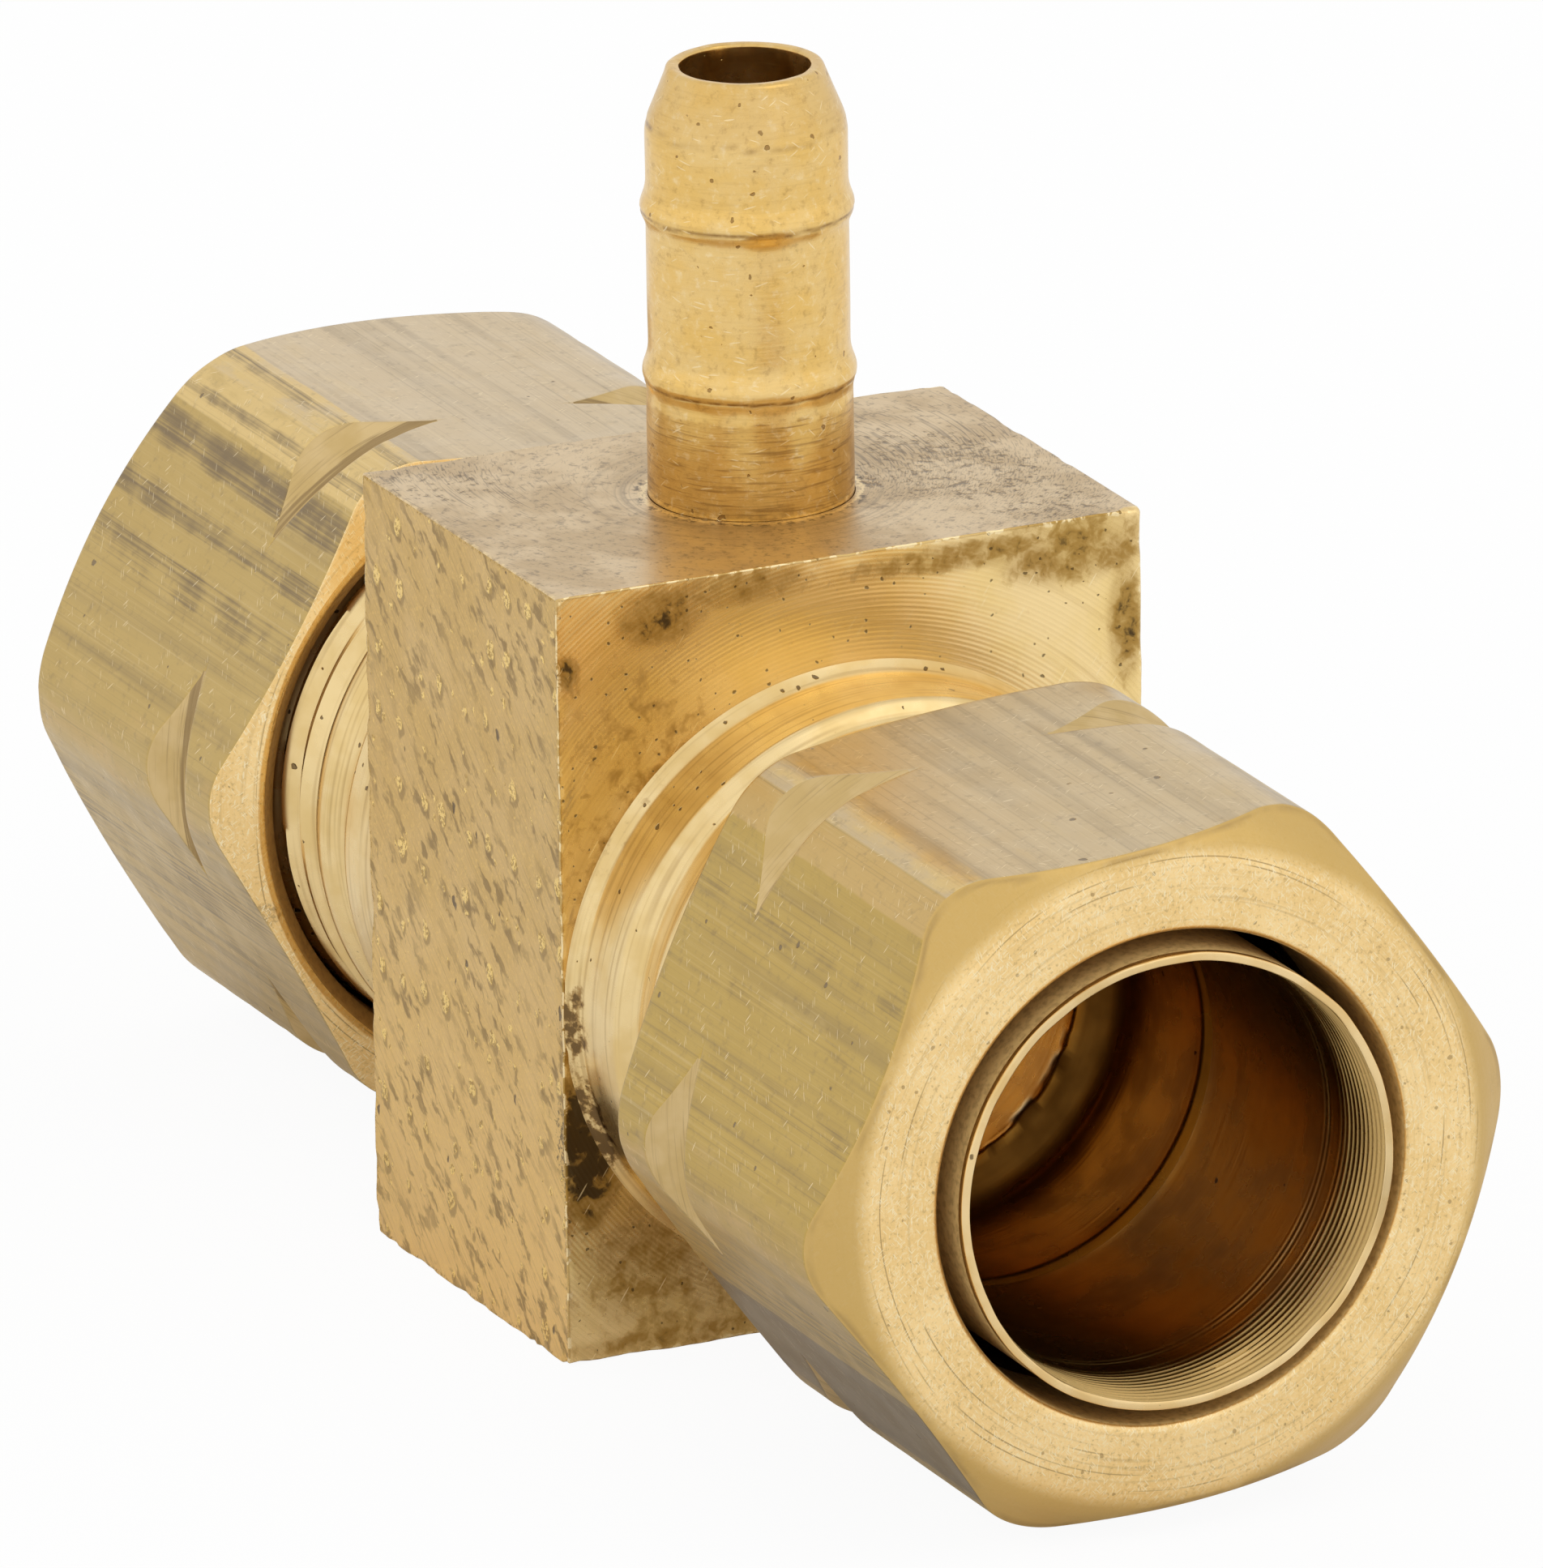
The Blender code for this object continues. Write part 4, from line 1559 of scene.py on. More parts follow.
    def stain_marks(self, places: Grid) -> Grid:
        """How strongly the stains show.

        Args:
            places: The points, from the run axis.

        Returns:
            The strength at each point.
        """
        world = places + np.array([0.0, 0.0, RUN_HEIGHT])
        total = np.zeros(places.shape[:-1])
        for stain in self.stains:
            off = np.linalg.norm((world - np.array(stain.middle)) / np.array(stain.reach), axis=-1)
            near = smooth_step(-off, *(-reach for reach in self.stain_edge))
            total = np.maximum(total, stain.strength * near)
        return total

    def block_zones(self, zones: Grid, places: Grid) -> Grid:
        """Sets the milled top and base apart from the sawn sides.

        Args:
            zones: The finish of each face.
            places: The points, from the run axis.

        Returns:
            The new finish of each face.
        """
        height = ((places + np.roll(places, -1, 1)) / 2)[..., 2]
        level = (height > self.top - self.level_band) | (height < self.base + self.level_band)
        return np.where((zones == BodyZone.SAWN) & level, BodyZone.MILLED, zones)

    def cut_branch(self, body: bpy.types.Object) -> None:
        """Cuts the stem's hole and the branch bore.

        Args:
            body: The body's object, whose mesh is replaced.
        """
        above = self.top + self.cutter_rise
        corners = [
            Corner(0.0, 0.0),
            Corner(0.0, self.branch_bore),
            Corner(self.ledge_height, self.branch_bore),
            Corner(self.ledge_height, self.hole_radius),
            Corner(above, self.hole_radius),
            Corner(above, 0.0),
        ]
        shape = Lathe(corners, self.cutter_columns).solid("branch_cutter", RUN_HEIGHT)
        cut = body.modifiers.new("branch_hole", "BOOLEAN")
        cut.operation = "DIFFERENCE"
        cut.solver = "EXACT"
        cut.object = shape
        faces = shape.data.polygons
        faces.foreach_set("material_index", [int(BodyZone.BORED)] * len(faces))
        whole = body.evaluated_get(bpy.context.evaluated_depsgraph_get())
        mesh = bpy.data.meshes.new_from_object(whole)
        body.modifiers.remove(cut)
        body.data = mesh
        bpy.data.objects.remove(shape)

    def build(self) -> None:
        """Makes the body and puts it on the tee."""
        front, front_zones = self.end_rows(1)
        rear, rear_zones = self.end_rows(-1)
        places = np.array(front + rear[::-1])
        zones = front_zones + rear_zones[-2::-1] + [BodyZone.SAWN]
        zones = np.repeat(np.array(zones, dtype=int)[:, None], places.shape[1], axis=1)
        zones = self.block_zones(zones, places)
        edge = self.edge_distance(places)
        places, burr = self.burred(self.roughened(places, edge))
        # The burr mark also carries the painted shade on the shoulder.
        marks = {"edge": edge, "stain": self.stain_marks(places), "burr": burr}
        finishes: list[Finish] = [SawnBrass(), MilledBrass(), FacedBrass(), TurnedBrass()]
        finishes += [BoredBrass(), self.lining]
        skin = Skin(places + np.array([0.0, 0.0, RUN_HEIGHT]), zones, marks)
        body = skin.make("body", finishes)
        self.cut_branch(body)
        dress(body, "tee", "tee_body")


class Axis(Enum):
    """The axis that a piece is turned about."""

    RUN = "run"
    BRANCH = "branch"


@dataclass
class Lathe:
    """Turns an outline about an axis."""

    corners: list[Corner]
    columns: int = 192

    def circle(self) -> Grid:
        """The sideways and upward share of each column."""
        turn = 2 * math.pi * np.arange(self.columns) / self.columns
        return np.stack([np.cos(turn), np.sin(turn)], axis=1)

    def turned(self, axis: Axis) -> tuple[Grid, Grid]:
        """The closed outline, turned.

        Args:
            axis: The axis that it is turned about.

        Returns:
            The points, and the finish after each of them.
        """
        rows, zones = eased_outline(self.corners)
        around = rows[:, 1, None, None] * self.circle()[None]
        along = np.repeat(rows[:, 0, None, None], self.columns, axis=1)
        parts = [along, around] if axis is Axis.RUN else [around, along]
        return np.concatenate(parts, axis=2), np.repeat(zones[:, None], self.columns, axis=1)

    def solid(self, name: str, height: float) -> bpy.types.Object:
        """A closed cutter about the branch axis, from an outline that starts and ends on it.

        Args:
            name: The cutter's name.
            height: How high the outline's zero lies.

        Returns:
            The cutter, not yet used.
        """
        circle = self.circle()
        points = [(0.0, 0.0, self.corners[0].along + height)]
        for corner in self.corners[1:-1]:
            points += [(*(corner.out * side), corner.along + height) for side in circle]
        points.append((0.0, 0.0, self.corners[-1].along + height))
        last = len(points) - 1
        faces: list[tuple[int, ...]] = []
        for i in range(self.columns):
            j = (i + 1) % self.columns
            faces.append((0, 1 + j, 1 + i))
            for level in range(len(self.corners) - 3):
                low = 1 + level * self.columns
                high = low + self.columns
                faces.append((low + i, low + j, high + j, high + i))
            top = 1 + (len(self.corners) - 3) * self.columns
            faces.append((top + i, top + j, last))
        mesh = bpy.data.meshes.new(name)
        mesh.from_pydata([tuple(MM * number for number in point) for point in points], [], faces)
        return placed(name, mesh)


@dataclass
class HoseStem:
    """The barbed stem in the top of the block."""

    bore_radius: float = 1.87
    base_radius: float = 2.95
    stem_radius: float = 2.89
    barb_radius: float = 3.1
    barbs: tuple[float, float] = (3.7, 8.55)
    barb_back: float = 0.45
    barb_ramp: float = 0.6
    nose_length: float = 1.7
    tip_radius: float = 2.19
    line_heights: tuple[float, float, float] = (3.5, 8.5, 11.03)
    line_width: float = 0.09
    line_depth: float = 0.035
    line_waves: tuple[Ripple, ...] = (Ripple(0.9, 21, 0.05), Ripple(2.6, 22, 0.03))
    line_wear: Ripple = Ripple(1.3, 23, 0.4)
    dents: Ripple = Ripple(0.8, 24, 0.012)
    rim_dents: Ripple = Ripple(1.6, 25, 0.03)
    rim_width: float = 0.35
    columns: int = 200
    row_step: float = 0.07

    def __post_init__(self) -> None:
        """Takes the stem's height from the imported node."""
        low, high = node_box("hose_barb")
        self.foot = float(low[2])
        self.tip = float(high[2])
        self.block_top = float(node_box("tee_body")[1][2])

    def corners(self) -> list[Corner]:
        """The stem's outline, from its foot up the outside and down the bore.

        Returns:
            The outline's corners.
        """
        step = self.row_step
        corners = [
            Corner(self.foot, self.bore_radius, 0.05, step=0.5),
            Corner(self.foot, self.base_radius, 0.1, step=0.8),
            Corner(self.block_top - 0.2, self.base_radius, step=step),
        ]
        below = self.base_radius
        for barb in self.barbs:
            at = self.block_top + barb
            corners.append(Corner(at - self.barb_back, below, 0.16, step=step))
            corners.append(Corner(at, self.barb_radius, 0.22, step=step))
            corners.append(Corner(at + self.barb_ramp, self.stem_radius, 0.25, step=step))
            below = self.stem_radius
        nose = self.tip - self.nose_length
        corners += [
            Corner(nose, self.stem_radius, 0.35, step=step),
            Corner(self.tip, self.tip_radius + 0.02, 0.14, step=0.1),
            Corner(self.tip - 0.03, self.bore_radius, 0.09, step=0.3),
        ]
        return corners

    def build(self) -> None:
        """Makes the stem and puts it on the tee."""
        places, zones = Lathe(self.corners(), self.columns).turned(Axis.BRANCH)
        radius = np.hypot(places[..., 0], places[..., 1])
        outside = radius > (self.bore_radius + self.tip_radius) / 2
        level = places * np.array([1.0, 1.0, 0.0])
        wobble = sum(wave.at(level) for wave in self.line_waves)
        line = np.zeros(radius.shape)
        for height in self.line_heights:
            off = np.abs(places[..., 2] - self.block_top - height - wobble)
            line = np.maximum(line, smooth_step(-off, -self.line_width, 0.0))
        line *= outside
        wear = 1 - self.line_wear.height + self.line_wear.at(places)
        rim = smooth_step(places[..., 2], self.tip - self.rim_width, self.tip)
        dent = self.line_depth * line * wear + self.dents.at(places)
        dent += rim * self.rim_dents.at(places)
        places[..., :2] *= (1 - dent / radius)[..., None]
        skin = Skin(places, zones, {"line": line})
        stem = skin.make("hose_stem", [StemBrass(block_top=self.block_top)])
        dress(stem, "tee", "hose_barb")


class SleeveZone(IntEnum):
    """Finishes of a sleeve."""

    RIM = 0
    INSIDE = 1
    TAIL = 2


@dataclass
class Sleeve:
    """A compression sleeve: nose cone, ring, back cone and thin tail, grooved inside its mouth.

    The two numbers of groove_side are the share of the grooves that goes right round and the share
    that lies on one side. Those of painted_light_shares are the painted light that the grooved
    part, the mouth and the groove ridges add to the lining, with painted shade in the groove
    hollows, and those of inside_margin keep the grooves off the wall and the lip.
    """

    node: str
    side: int
    bore_radius: float = 6.4
    lining: BoredBrass = BoredBrass(warm=(0.40, 0.235, 0.055), brown=(0.285, 0.16, 0.035))
    nose_wall: float = 0.2
    ring_radius: float = 7.95
    ring_length: float = 2.3
    tail_wall: float = 0.27
    columns: int = 224
    groove_reach: float = 5.5
    groove_step: float = 0.26
    groove_depth: float = 0.03
    groove_end: float = 0.15
    groove_side: Span = (0.55, 0.45)
    side_scale: float = 1.42
    groove_patches: Ripple = Ripple(0.5, 32, 0.5)
    patch_share: float = 0.75
    groove_rounds: Ripple = Ripple(1.9, 33, 1.2)
    round_share: float = 0.55
    round_most: float = 1.3
    # The lining's crest colour is painted light near the mouth and on the groove ridges, with
    # painted shade in the hollows.
    painted_light_reach: float = 2.0
    painted_light_shares: Place = (0.3, 1.1, 0.8)
    rim_width: float = 0.25
    rim_dents: Ripple = Ripple(1.2, 31, 0.03)
    inside_margin: Span = (0.03, 0.05)
    row_step: float = 0.04

    def corners(self, length: float) -> list[Corner]:
        """The sleeve's outline, with its nose at zero.

        Args:
            length: The sleeve's length.

        Returns:
            The outline's corners.
        """
        nose = self.bore_radius + self.nose_wall
        tail = self.bore_radius + self.tail_wall
        ring = self.ring_radius - nose
        tail_start = ring + self.ring_length + self.ring_radius - tail
        return [
            Corner(0.0, self.bore_radius, 0.05, SleeveZone.INSIDE, 0.1),
            Corner(0.0, nose, 0.05, step=0.4),
            Corner(ring, self.ring_radius, 0.15, step=0.5),
            Corner(ring + self.ring_length, self.ring_radius, 0.15, step=0.4),
            Corner(tail_start, tail, 0.15, SleeveZone.TAIL, 0.5),
            Corner(length - self.rim_width, tail, step=0.1),
            Corner(length, tail, 0.09, step=0.1),
            Corner(length, self.bore_radius, 0.1, SleeveZone.INSIDE, self.row_step),
            Corner(length - self.groove_reach, self.bore_radius, zone=SleeveZone.INSIDE, step=0.4),
        ]

    def groove_strength(self, places: Grid, from_mouth: Grid) -> Grid:
        """How strongly each point is grooved.

        Args:
            places: The points round the run axis.
            from_mouth: How far each lies from the sleeve's mouth.

        Returns:
            0 for a smooth point and about 1 for a grooved one.
        """
        across, up = places[..., 1], places[..., 2]
        end = self.groove_reach * self.groove_end
        reach = smooth_step(-from_mouth, -self.groove_reach, -end)
        plain, sided = self.groove_side
        reach *= plain + sided * (across - up) / (self.side_scale * np.hypot(across, up))
        reach *= self.patch_share + self.groove_patches.at(places)
        rounds = self.groove_rounds.at(from_mouth[..., None] * np.array([1.0, 0.0, 0.0]))
        return reach * np.clip(self.round_share + rounds, 0.0, self.round_most)

    def build(self) -> None:
        """Makes the sleeve and puts it on its body."""
        low, high = node_box(self.node)
        length = float(high[0] - low[0])
        places, zones = Lathe(self.corners(length), self.columns).turned(Axis.RUN)
        radius = np.hypot(places[..., 1], places[..., 2])
        from_mouth = length - places[..., 0]
        wall, lip = self.inside_margin
        inside = (radius < self.bore_radius + wall) & (from_mouth > lip)
        reach = self.groove_strength(places, from_mouth)
        waves = np.sin(2 * math.pi * from_mouth / self.groove_step)
        rim = smooth_step(-from_mouth, -self.rim_width, 0.0)
        groove = self.groove_depth * reach * waves * inside + rim * self.rim_dents.at(places)
        # Painted light: this crest mark, stored as groove, lightens the lining towards the mouth
        # and on the groove ridges, and darkens it in the hollows.
        mouth = smooth_step(-from_mouth, -self.painted_light_reach, 0.0)
        grooved, shiny, ridged = self.painted_light_shares
        crest = grooved * reach + shiny * mouth - ridged * groove / self.groove_depth
        crest = np.clip(crest, 0.0, 1.0) * inside
        places[..., 1:] *= (1 + groove / radius)[..., None]
        finishes = [SleeveBrass(), self.lining, DullBrass()]
        skin = Skin(set_on_run(places, self.node, self.side), zones, {"groove": crest})
        dress(skin.make(f"{self.node}_skin", finishes), self.node, self.node)


BORE_MATCH = 0.01


class NutZone(IntEnum):
    """Finishes of a nut."""

    FLAT = 0
    END = 1
    NOTCH = 2
    BORE = 3
    MOUTH = 4
    THROAT = 5


@dataclass(frozen=True)
class Streak:
    """A group of dark lengthwise lines: its angle round the nut, its width and its strength."""

    at: float
    width: float
    strength: float


@dataclass(frozen=True)
class BarLook:
    """How the bar of one nut looks, flat by flat from the first corner on.

    Attributes:
        tints_and_reflections: From 0 for an olive flat to 1 for a grey one; partly the bar's own
            tint and partly painted reflection, as the top flats are made greyer like a reflection
            of the grey room behind.
        corners: The two halves of the corner after each flat, from -1 for pale to 1 for golden.
        streaks: The groups of dark lines.
    """

    tints_and_reflections: tuple[float, ...]
    corners: tuple[tuple[float, float], ...]
    streaks: tuple[Streak, ...]


@dataclass
class UnionNut:
    """A hexagon union nut with chamfered ends, notched corners and a stepped bore.

    Places along the nut are from its inner end, the one that faces the block. The rows of its
    outside are counted from there too: chamfer, flat, both slopes of the notch, flat and chamfer.
    """

    node: str
    side: int
    turn: float
    look: BarLook
    lining: BoredBrass = BoredBrass(warm=(0.50, 0.30, 0.09), brown=(0.35, 0.19, 0.05))
    throat_brass: DullBrass = DullBrass(tan=(0.40, 0.22, 0.06), dirt=(0.22, 0.11, 0.03))
    flat_radius: float = 9.73
    corner_round: float = 2.6
    chamfer_inset: float = 0.2
    inner_chamfer: float = 25.0
    outer_chamfer: float = 43.0
    dome_cone: float = 0.7
    dome_face: float = 0.6
    dome_room: float = 0.85
    dome_rows: int = 9
    notch_from_inner: float = 3.95
    notch_floor: float = 0.2
    notch_inner_slope: float = 60.0
    notch_outer_slope: float = 50.0
    least_notch: float = 0.06
    bore_radius: float = 8.9
    tail_radius: float = 7.19
    tail_mouth: float = 4.2
    mouth_ease: float = 0.26
    mouth_chamfer: float = 0.4
    throat: float = 3.0
    taper_start: float = 6.494
    thread_cut: float = 0.14
    thread_base: float = 0.7
    thread_fade: Span = (0.3, 0.9)
    taper_fade: Span = (0.1, 0.7)
    edge_ease: float = 0.05
    flat_columns: int = 50
    arc_columns: int = 22
    row_counts: tuple[int, ...] = (9, 12, 10, 10, 26, 9)
    nicks: Ripple = Ripple(1.1, 41, 0.03)
    nick_band: Span = (0.3, 0.8)
    lip_width: float = 0.09
    lip_inset: float = 0.15
    slope_band: Span = (-0.55, 0.05)
    root_shift: float = 0.12
    root_shade_band: Span = (0.3, 0.05)
    streak_core: float = 0.4

    def hexagon(self) -> tuple[Grid, ...]:
        """The rounded hexagon.

        Returns:
            The angle and the radius of each column, its tint with painted reflection, and how its
            corner is worn.
        """
        corner = (self.flat_radius - self.corner_round) / math.cos(math.pi / 6)
        reach = corner * math.sin(math.pi / 6)
        parts: list[Grid] = []
        for side in range(6):
            here, following = (self.look.tints_and_reflections[number % 6] for number in (side, side + 1))
            aside = reach * np.linspace(-1.0, 1.0, self.flat_columns)
            angles = (side + 0.5) * math.pi / 3 + np.arctan2(aside, self.flat_radius)
            tints_and_reflections, worn = np.full(aside.shape, here), np.zeros(aside.shape)
            parts.append(np.stack([angles, np.hypot(aside, self.flat_radius), tints_and_reflections, worn]))
            turn = np.linspace(-math.pi / 6, math.pi / 6, self.arc_columns + 2)[1:-1]
            over = corner + self.corner_round * np.cos(turn)
            aside = self.corner_round * np.sin(turn)
            angles = (side + 1) * math.pi / 3 + np.arctan2(aside, over)
            tints_and_reflections = np.where(turn < 0, here, following)
            worn = np.where(turn < 0, *self.look.corners[side])
            parts.append(np.stack([angles, np.hypot(over, aside), tints_and_reflections, worn]))
        return tuple(np.concatenate(parts, axis=1))

    def streak_marks(self, angles: Grid, radius: Grid) -> Grid:
        """How strongly the dark lines show.

        Args:
            angles: The angle of each column.
            radius: The hexagon's radius at each column.

        Returns:
            The strength at each column.
        """
        total = np.zeros(angles.shape)
        for streak in self.look.streaks:
            off = (angles - math.radians(streak.at) + math.pi) % (2 * math.pi) - math.pi
            core = self.streak_core * streak.width
            near = smooth_step(-np.abs(off * radius), -streak.width, -core)
            total = np.maximum(total, streak.strength * near)
        return total

    def eased_least(self, first: Grid, second: Grid) -> Grid:
        """The smaller of two radii, with the edge between them eased."""
        near = np.clip(0.5 + 0.5 * (second - first) / self.edge_ease, 0.0, 1.0)
        return second * (1 - near) + first * near - self.edge_ease * near * (1 - near)

    def outside(self, length: float, radius: Grid) -> tuple[list[Grid], list[Grid], list[Grid]]:
        """Rows along the outside, which follow the edges of the chamfers and notches.

        Args:
            length: The nut's length.
            radius: The hexagon's radius at each column.

        Returns:
            The place along, the radius and the finish of each row.
        """
        chamfer = self.flat_radius - self.chamfer_inset
        notch = self.notch_from_inner
        depth = np.maximum(radius - self.flat_radius - self.notch_floor, self.least_notch)
        notch_start = notch - depth * math.tan(math.radians(self.notch_inner_slope))
        notch_end = notch + depth * math.tan(math.radians(self.notch_outer_slope))
        spread = math.tan(math.radians(self.outer_chamfer))
        inner = (radius - chamfer) * math.tan(math.radians(self.inner_chamfer))
        outer = length - (radius - chamfer) * spread
        dome = np.minimum(self.dome_cone, self.dome_room * (radius - chamfer))
        notched = np.where(depth > self.least_notch, NutZone.NOTCH, NutZone.FLAT)
        plain = np.full(radius.shape, NutZone.FLAT)
        ended = np.full(radius.shape, NutZone.END)
        nil = np.zeros(radius.shape)
        edges = (nil, inner, notch_start, nil + notch, notch_end, outer, length - dome * spread)
        looks = (ended, plain, notched, notched, plain, ended)
        along: list[Grid] = []
        zones: list[Grid] = []
        for start, end, rows, zone in zip(edges, edges[1:], self.row_counts, looks):
            for share in eased_steps(rows):
                along.append(start + (end - start) * share)
                zones.append(zone)
        radii = [self.envelope(place, radius, length) for place in along]
        for share in np.linspace(0.0, 1.0, self.dome_rows):
            along.append(length - dome * spread * (1 - share) ** 2)
            round_out = chamfer + dome * (1 - share) ** 2 - self.dome_face * share ** 2
            radii.append(self.eased_least(radius, round_out))
            zones.append(ended)
        return along, radii, zones

    def envelope(self, along: Grid, radius: Grid, length: float) -> Grid:
        """The outside radius, with each edge eased.

        Args:
            along: The place along each column, from the inner end.
            radius: The hexagon's radius at each column.
            length: The nut's length.

        Returns:
            The radius of the finished outside.
        """
        chamfer = self.flat_radius - self.chamfer_inset
        from_notch = along - self.notch_from_inner
        slopes = np.where(from_notch < 0, self.notch_inner_slope, self.notch_outer_slope)
        rise = np.abs(from_notch) / np.tan(np.radians(slopes))
        notch = self.flat_radius + self.notch_floor + rise
        inner = chamfer + along / math.tan(math.radians(self.inner_chamfer))
        outer = chamfer + (length - along) / math.tan(math.radians(self.outer_chamfer))
        result = radius
        for cut in (inner, outer, notch):
            result = self.eased_least(result, cut)
        return result

    def inside(self, length: float) -> list[Corner]:
        """The outline of the inside, from the outer end back to the inner end.

        Args:
            length: The nut's length.

        Returns:
            The outline's corners.
        """
        chamfer = self.flat_radius - self.chamfer_inset
        drop = self.bore_radius - self.tail_radius
        mouth = self.bore_radius + self.mouth_chamfer
        return [
            Corner(length, chamfer - self.dome_face - 0.08, 0.0, NutZone.END, 0.25),
            Corner(length, self.tail_radius, self.mouth_ease, NutZone.MOUTH, 0.4),
            Corner(length - self.tail_mouth, self.tail_radius, 0.0, NutZone.BORE, 0.5),
            Corner(self.taper_start + drop, self.tail_radius, 0.1, NutZone.BORE, 0.6),
            Corner(self.taper_start, self.bore_radius, 0.1, NutZone.BORE, 0.14),
            Corner(self.throat, self.bore_radius, 0.0, NutZone.THROAT, 0.14),
            Corner(self.mouth_chamfer, self.bore_radius, 0.05, NutZone.THROAT, 0.2),
            Corner(0.0, mouth, 0.12, NutZone.END, 0.1),
            Corner(0.0, chamfer - 0.05, 0.0, NutZone.END),
        ]

    def threaded(self, along: Grid, radius: Grid, angles: Grid) -> Grid:
        """The nut's bore with its thread.

        Args:
            along: The place along each point, from the inner end.
            radius: The plain radius.
            angles: The angle of each column.

        Returns:
            The radius with the thread cut in.
        """
        rise = thread_rise(self.side * along, angles)
        plain = np.abs(radius - self.bore_radius) < BORE_MATCH
        fade = smooth_step(along, *self.thread_fade)
        fade *= smooth_step(-along, *(end - self.taper_start for end in self.taper_fade))
        return radius + plain * fade * self.thread_cut * (rise - self.thread_base)

    def marks(
        self, along: Grid, radii: Grid, angles: Grid, radius: Grid, length: float
    ) -> dict[str, Grid]:
        """Numbers for the finishes, besides those of the hexagon.

        Args:
            along: The place along each point, from the inner end.
            radii: The finished radius of each point.
            angles: The angle of each column.
            radius: The hexagon's radius at each column.
            length: The nut's length.

        Returns:
            The streaks, the painted shade at the roots of the notches, and the lip and slope of the
            outer chamfer.
        """
        spread = math.tan(math.radians(self.outer_chamfer))
        outer = length - (radius - self.flat_radius + self.chamfer_inset) * spread
        root = np.abs(along - self.notch_from_inner - self.root_shift)
        lip = smooth_step(-np.abs(along - outer - self.lip_width), -self.lip_width, 0.0)
        slope = smooth_step(radii, *(self.flat_radius + end for end in self.slope_band))
        return {
            "streak": np.broadcast_to(self.streak_marks(angles, radius), radii.shape),
            # Painted shade at the root of the notch.
            "root": smooth_step(-root, *(-reach for reach in self.root_shade_band)),
            "lip": lip * (radii > self.flat_radius - self.lip_inset),
            "slope": slope * (along > length / 2),
        }

    def build(self) -> None:
        """Makes the nut and puts it on its body."""
        low, high = node_box(self.node)
        length = float(high[0] - low[0])
        angles, radius, tints_and_reflections, worn = self.hexagon()
        along, radii, zones = self.outside(length, radius)
        inside, inside_zones = eased_outline(self.inside(length), closed=False)
        for (place, out), zone in zip(inside, inside_zones):
            here = np.full(radius.shape, place)
            along.append(here)
            radii.append(self.threaded(here, np.full(radius.shape, out), angles))
            zones.append(np.full(radius.shape, zone))
        along = np.array(along)
        radii = np.array(radii)
        marks = self.marks(along, radii, angles, radius, length)
        marks["tint_and_reflection"] = np.broadcast_to(tints_and_reflections, radii.shape)
        marks["corner"] = np.broadcast_to(worn, radii.shape)
        turned = self.side * (angles + math.radians(self.turn))
        across = self.side * radii * np.cos(turned)
        places = np.stack([along, across, self.side * radii * np.sin(turned)], axis=-1)
        proud = smooth_step(radii, *(self.flat_radius + end for end in self.nick_band))
        ripple = replace(self.nicks, seed=self.nicks.seed + self.side)
        places[..., 1:] *= (1 - proud * np.maximum(ripple.at(places), 0.0) / radii)[..., None]
        finishes: list[Finish] = [DrawnBrass(), NutEndBrass(), NotchBrass()]
        finishes += [self.lining, DullBrass(), self.throat_brass]
        skin = Skin(set_on_run(places, self.node, self.side), np.array(zones), marks)
        dress(skin.make(f"{self.node}_skin", finishes), self.node, self.node)


# The greyer top flats in these tints are painted reflection.
FRONT_BAR = BarLook(
    tints_and_reflections=(0.5, 0.8, 0.0, 0.0, 0.4, 0.5),
    corners=((0.0, 0.0), (0.35, -1.0), (-0.2, -0.4), (0.0, 0.0), (0.0, 0.0), (0.0, 0.0)),
    streaks=(
        Streak(138.0, 0.4, 0.3),
        Streak(150.0, 0.5, 0.2),
        Streak(162.0, 0.6, 0.2),
        Streak(205.0, 3.6, 0.3),
        Streak(222.0, 3.0, 0.85),
    ),
)
REAR_BAR = BarLook(
    tints_and_reflections=(0.15, 1.0, 0.6, 0.5, 0.4, 0.2),
    corners=((0.9, 0.8), (0.0, 0.0), (0.0, 0.0), (0.0, 0.0), (0.0, 0.0), (-0.4, -0.2)),
    streaks=(
        Streak(49.0, 0.9, 0.5),
        Streak(38.0, 0.6, 0.42),
        Streak(28.0, 0.8, 0.36),
        Streak(87.0, 0.5, 0.2),
        Streak(56.0, 0.35, 0.4),
        Streak(64.0, 0.4, 0.34),
        Streak(332.0, 4.2, 0.28),
    ),
)


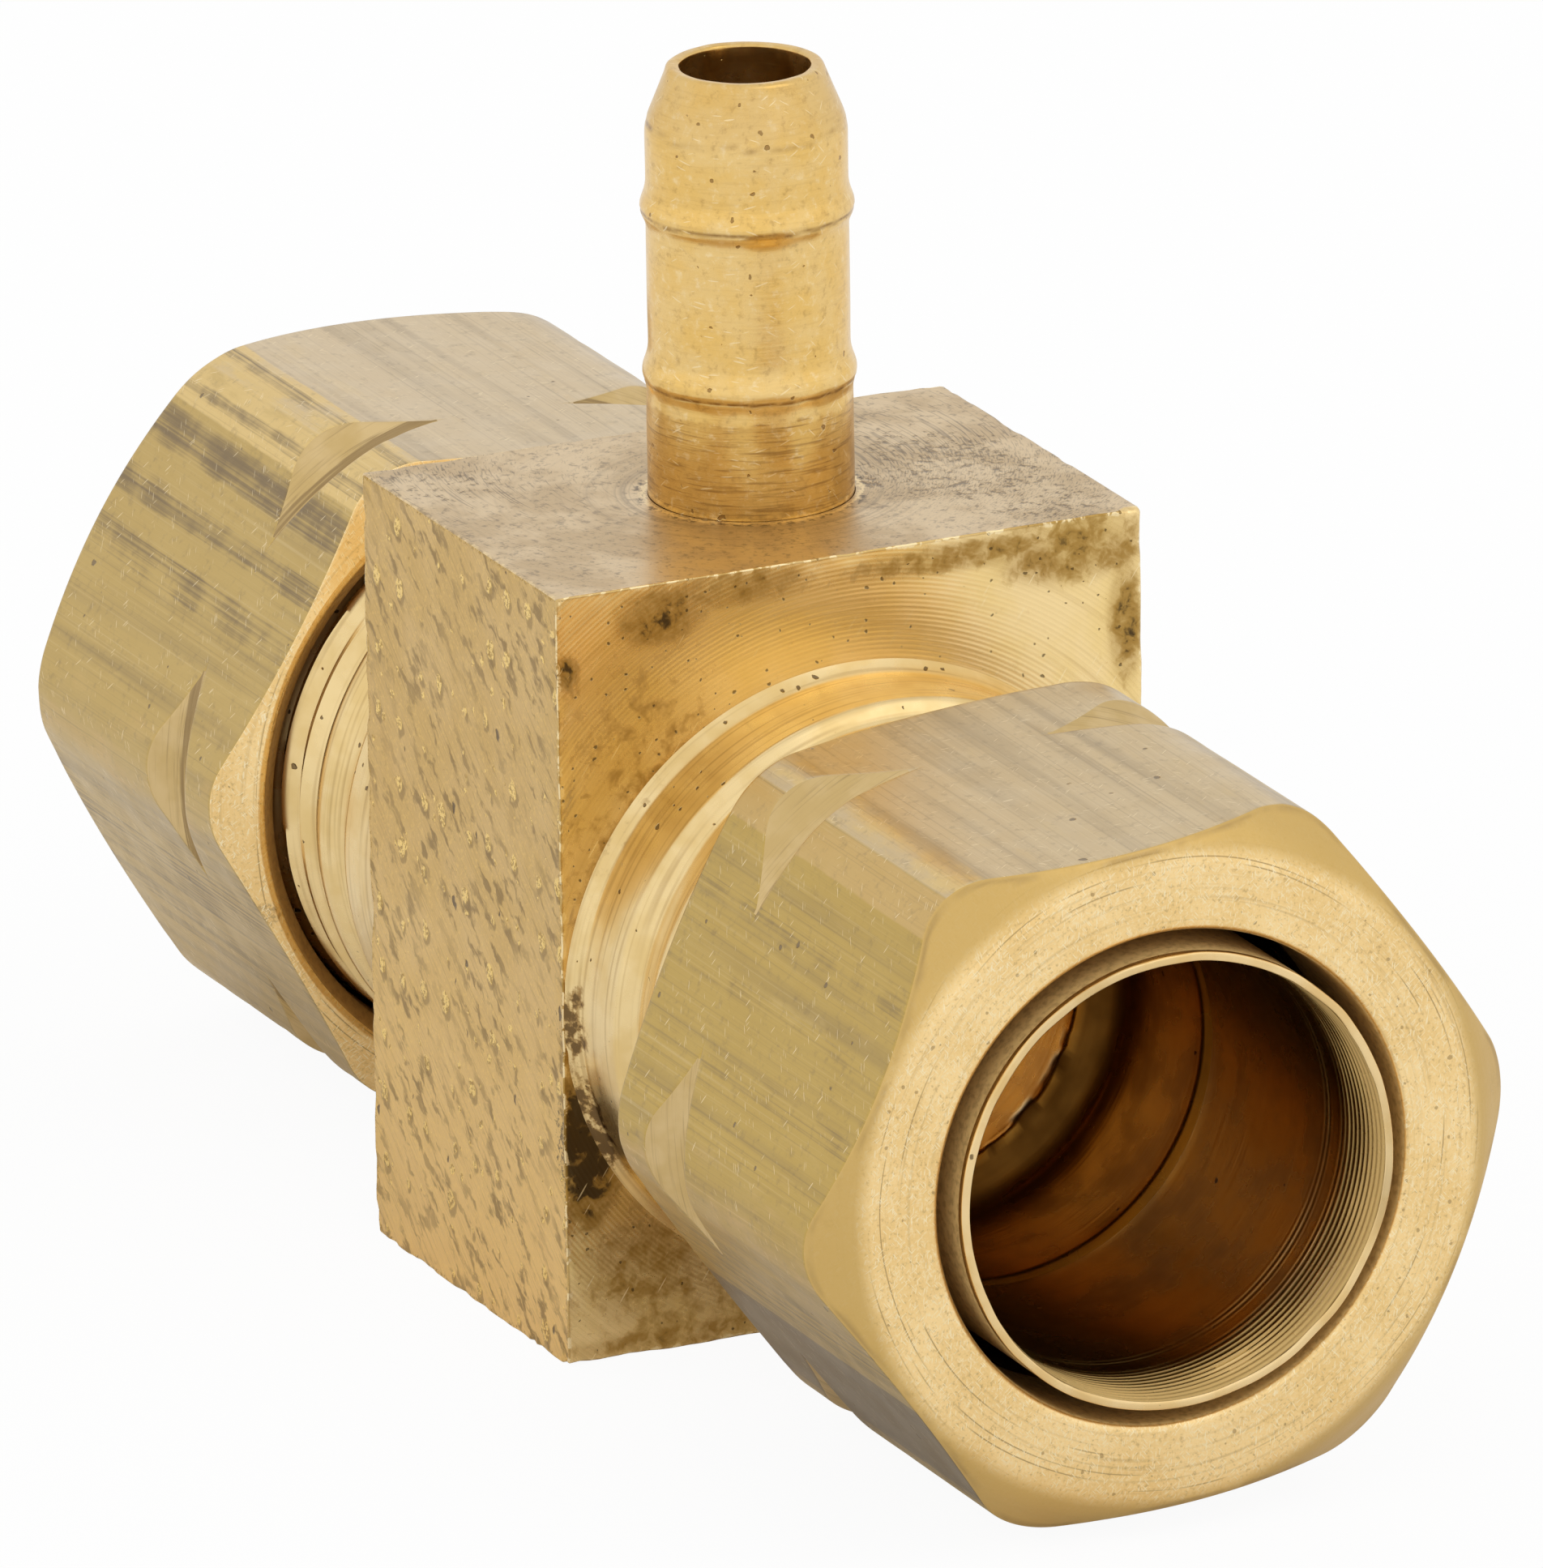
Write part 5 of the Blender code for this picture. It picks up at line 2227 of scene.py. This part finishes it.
@dataclass
class Studio:
    """A pale floor, soft light and the camera at the photograph's angle."""

    azimuth: float = 65.2365
    elevation: float = 18.282
    roll: float = -0.869
    distance: float = 861.06
    target: Place = (1.0566, 0.0, 14.3996)
    lens: float = 692.84
    sensor: float = 36.0
    clip: Span = (10.0, 20000.0)
    floor_size: float = 6000.0
    floor_white: Colour = (0.88, 0.88, 0.88)
    floor_glow: float = 0.94
    mirrored_glow: float = 0.1
    sky_bright: float = 1.0
    sky_dim: float = 0.92
    dim_side: Place = (-0.85, 0.45, 0.3)
    dim_span: Span = (-0.2, 0.9)
    key_power: float = 0.3
    key_size: float = 500.0
    key_place: Place = (420.0, 260.0, 620.0)

    def camera(self) -> None:
        """Makes the camera."""
        angles = (self.azimuth, self.elevation, self.roll)
        azimuth, elevation, roll = (math.radians(angle) for angle in angles)
        back = Vector((
            math.sin(azimuth) * math.cos(elevation),
            -math.cos(azimuth) * math.cos(elevation),
            math.sin(elevation),
        ))
        level = Vector((math.cos(azimuth), math.sin(azimuth), 0.0))
        upright = back.cross(level)
        right = level * math.cos(roll) + upright * math.sin(roll)
        up = upright * math.cos(roll) - level * math.sin(roll)
        data = bpy.data.cameras.new("photo_camera")
        data.lens = self.lens
        data.sensor_width = self.sensor
        data.clip_start, data.clip_end = (end * MM for end in self.clip)
        camera = placed("photo_camera", data)
        place = (Vector(self.target) + back * self.distance) * MM
        turn = Matrix((right, up, back)).transposed().to_4x4()
        camera.matrix_world = Matrix.Translation(place) @ turn
        bpy.context.scene.camera = camera

    def floor(self) -> None:
        """Makes the floor, white to the eye and darker in reflections, with a soft shadow."""
        half = self.floor_size / 2 * MM
        mesh = bpy.data.meshes.new("floor")
        corners = [(-half, -half, 0), (half, -half, 0), (half, half, 0), (-half, half, 0)]
        mesh.from_pydata(corners, [], [(0, 1, 2, 3)])
        material = bpy.data.materials.new("floor_white")
        material.use_nodes = True
        wiring = Wiring(material.node_tree)
        wiring.tree.nodes.clear()
        output = wiring.node("ShaderNodeOutputMaterial")
        matt = wiring.node("ShaderNodeBsdfDiffuse")
        wiring.put(matt.inputs["Color"], self.floor_white)
        glow = wiring.node("ShaderNodeEmission")
        ray = wiring.node("ShaderNodeLightPath").outputs
        mirrored = wiring.math("MAXIMUM", ray["Is Glossy Ray"], ray["Is Transmission Ray"])
        weaker = wiring.times(mirrored, self.mirrored_glow)
        share = wiring.math("MULTIPLY_ADD", ray["Is Camera Ray"], self.floor_glow, weaker)
        both = wiring.node("ShaderNodeMixShader")
        for socket, value in zip(both.inputs, (share, matt.outputs[0], glow.outputs[0])):
            wiring.put(socket, value)
        wiring.put(output.inputs["Surface"], both.outputs[0])
        mesh.materials.append(material)
        floor = placed("floor", mesh)

    def sky(self) -> None:
        """Makes the soft room light, brighter in front than behind."""
        world = bpy.data.worlds.new("studio")
        world.use_nodes = True
        wiring = Wiring(world.node_tree)
        background = wiring.tree.nodes["Background"].inputs
        wiring.put(background["Color"], (1.0, 1.0, 1.0))
        ray = wiring.node("ShaderNodeTexCoord").outputs["Generated"]
        side = wiring.vector("DOT_PRODUCT", ray, Vector(self.dim_side).normalized())
        shade = wiring.ramp(side, *self.dim_span, self.sky_bright, self.sky_dim)
        wiring.put(background["Strength"], shade)
        bpy.context.scene.world = world

    def key_light(self) -> None:
        """Makes the large soft lamp above and to the right."""
        data = bpy.data.lights.new("softbox", "AREA")
        data.shape = "SQUARE"
        data.size = self.key_size * MM
        data.energy = self.key_power
        lamp = placed("softbox", data)
        lamp.location = Vector(self.key_place) * MM
        lamp.rotation_euler = (-lamp.location).to_track_quat("-Z", "Y").to_euler()

    def build(self) -> None:
        """Sets up the whole studio."""
        self.camera()
        self.floor()
        self.sky()
        self.key_light()
        bpy.context.scene.view_settings.view_transform = "Standard"


def main() -> None:
    """Builds the tee's pieces in order, then the studio."""
    logging.basicConfig(level=logging.INFO, format="%(name)s: %(message)s")
    TeeBody().build()
    HoseStem().build()
    Sleeve("front_sleeve", 1).build()
    Sleeve("rear_sleeve", -1).build()
    UnionNut("front_nut", 1, 5.5, FRONT_BAR).build()
    UnionNut("rear_nut", -1, 1.3, REAR_BAR).build()
    Studio().build()


if __name__ == "__main__":
    main()
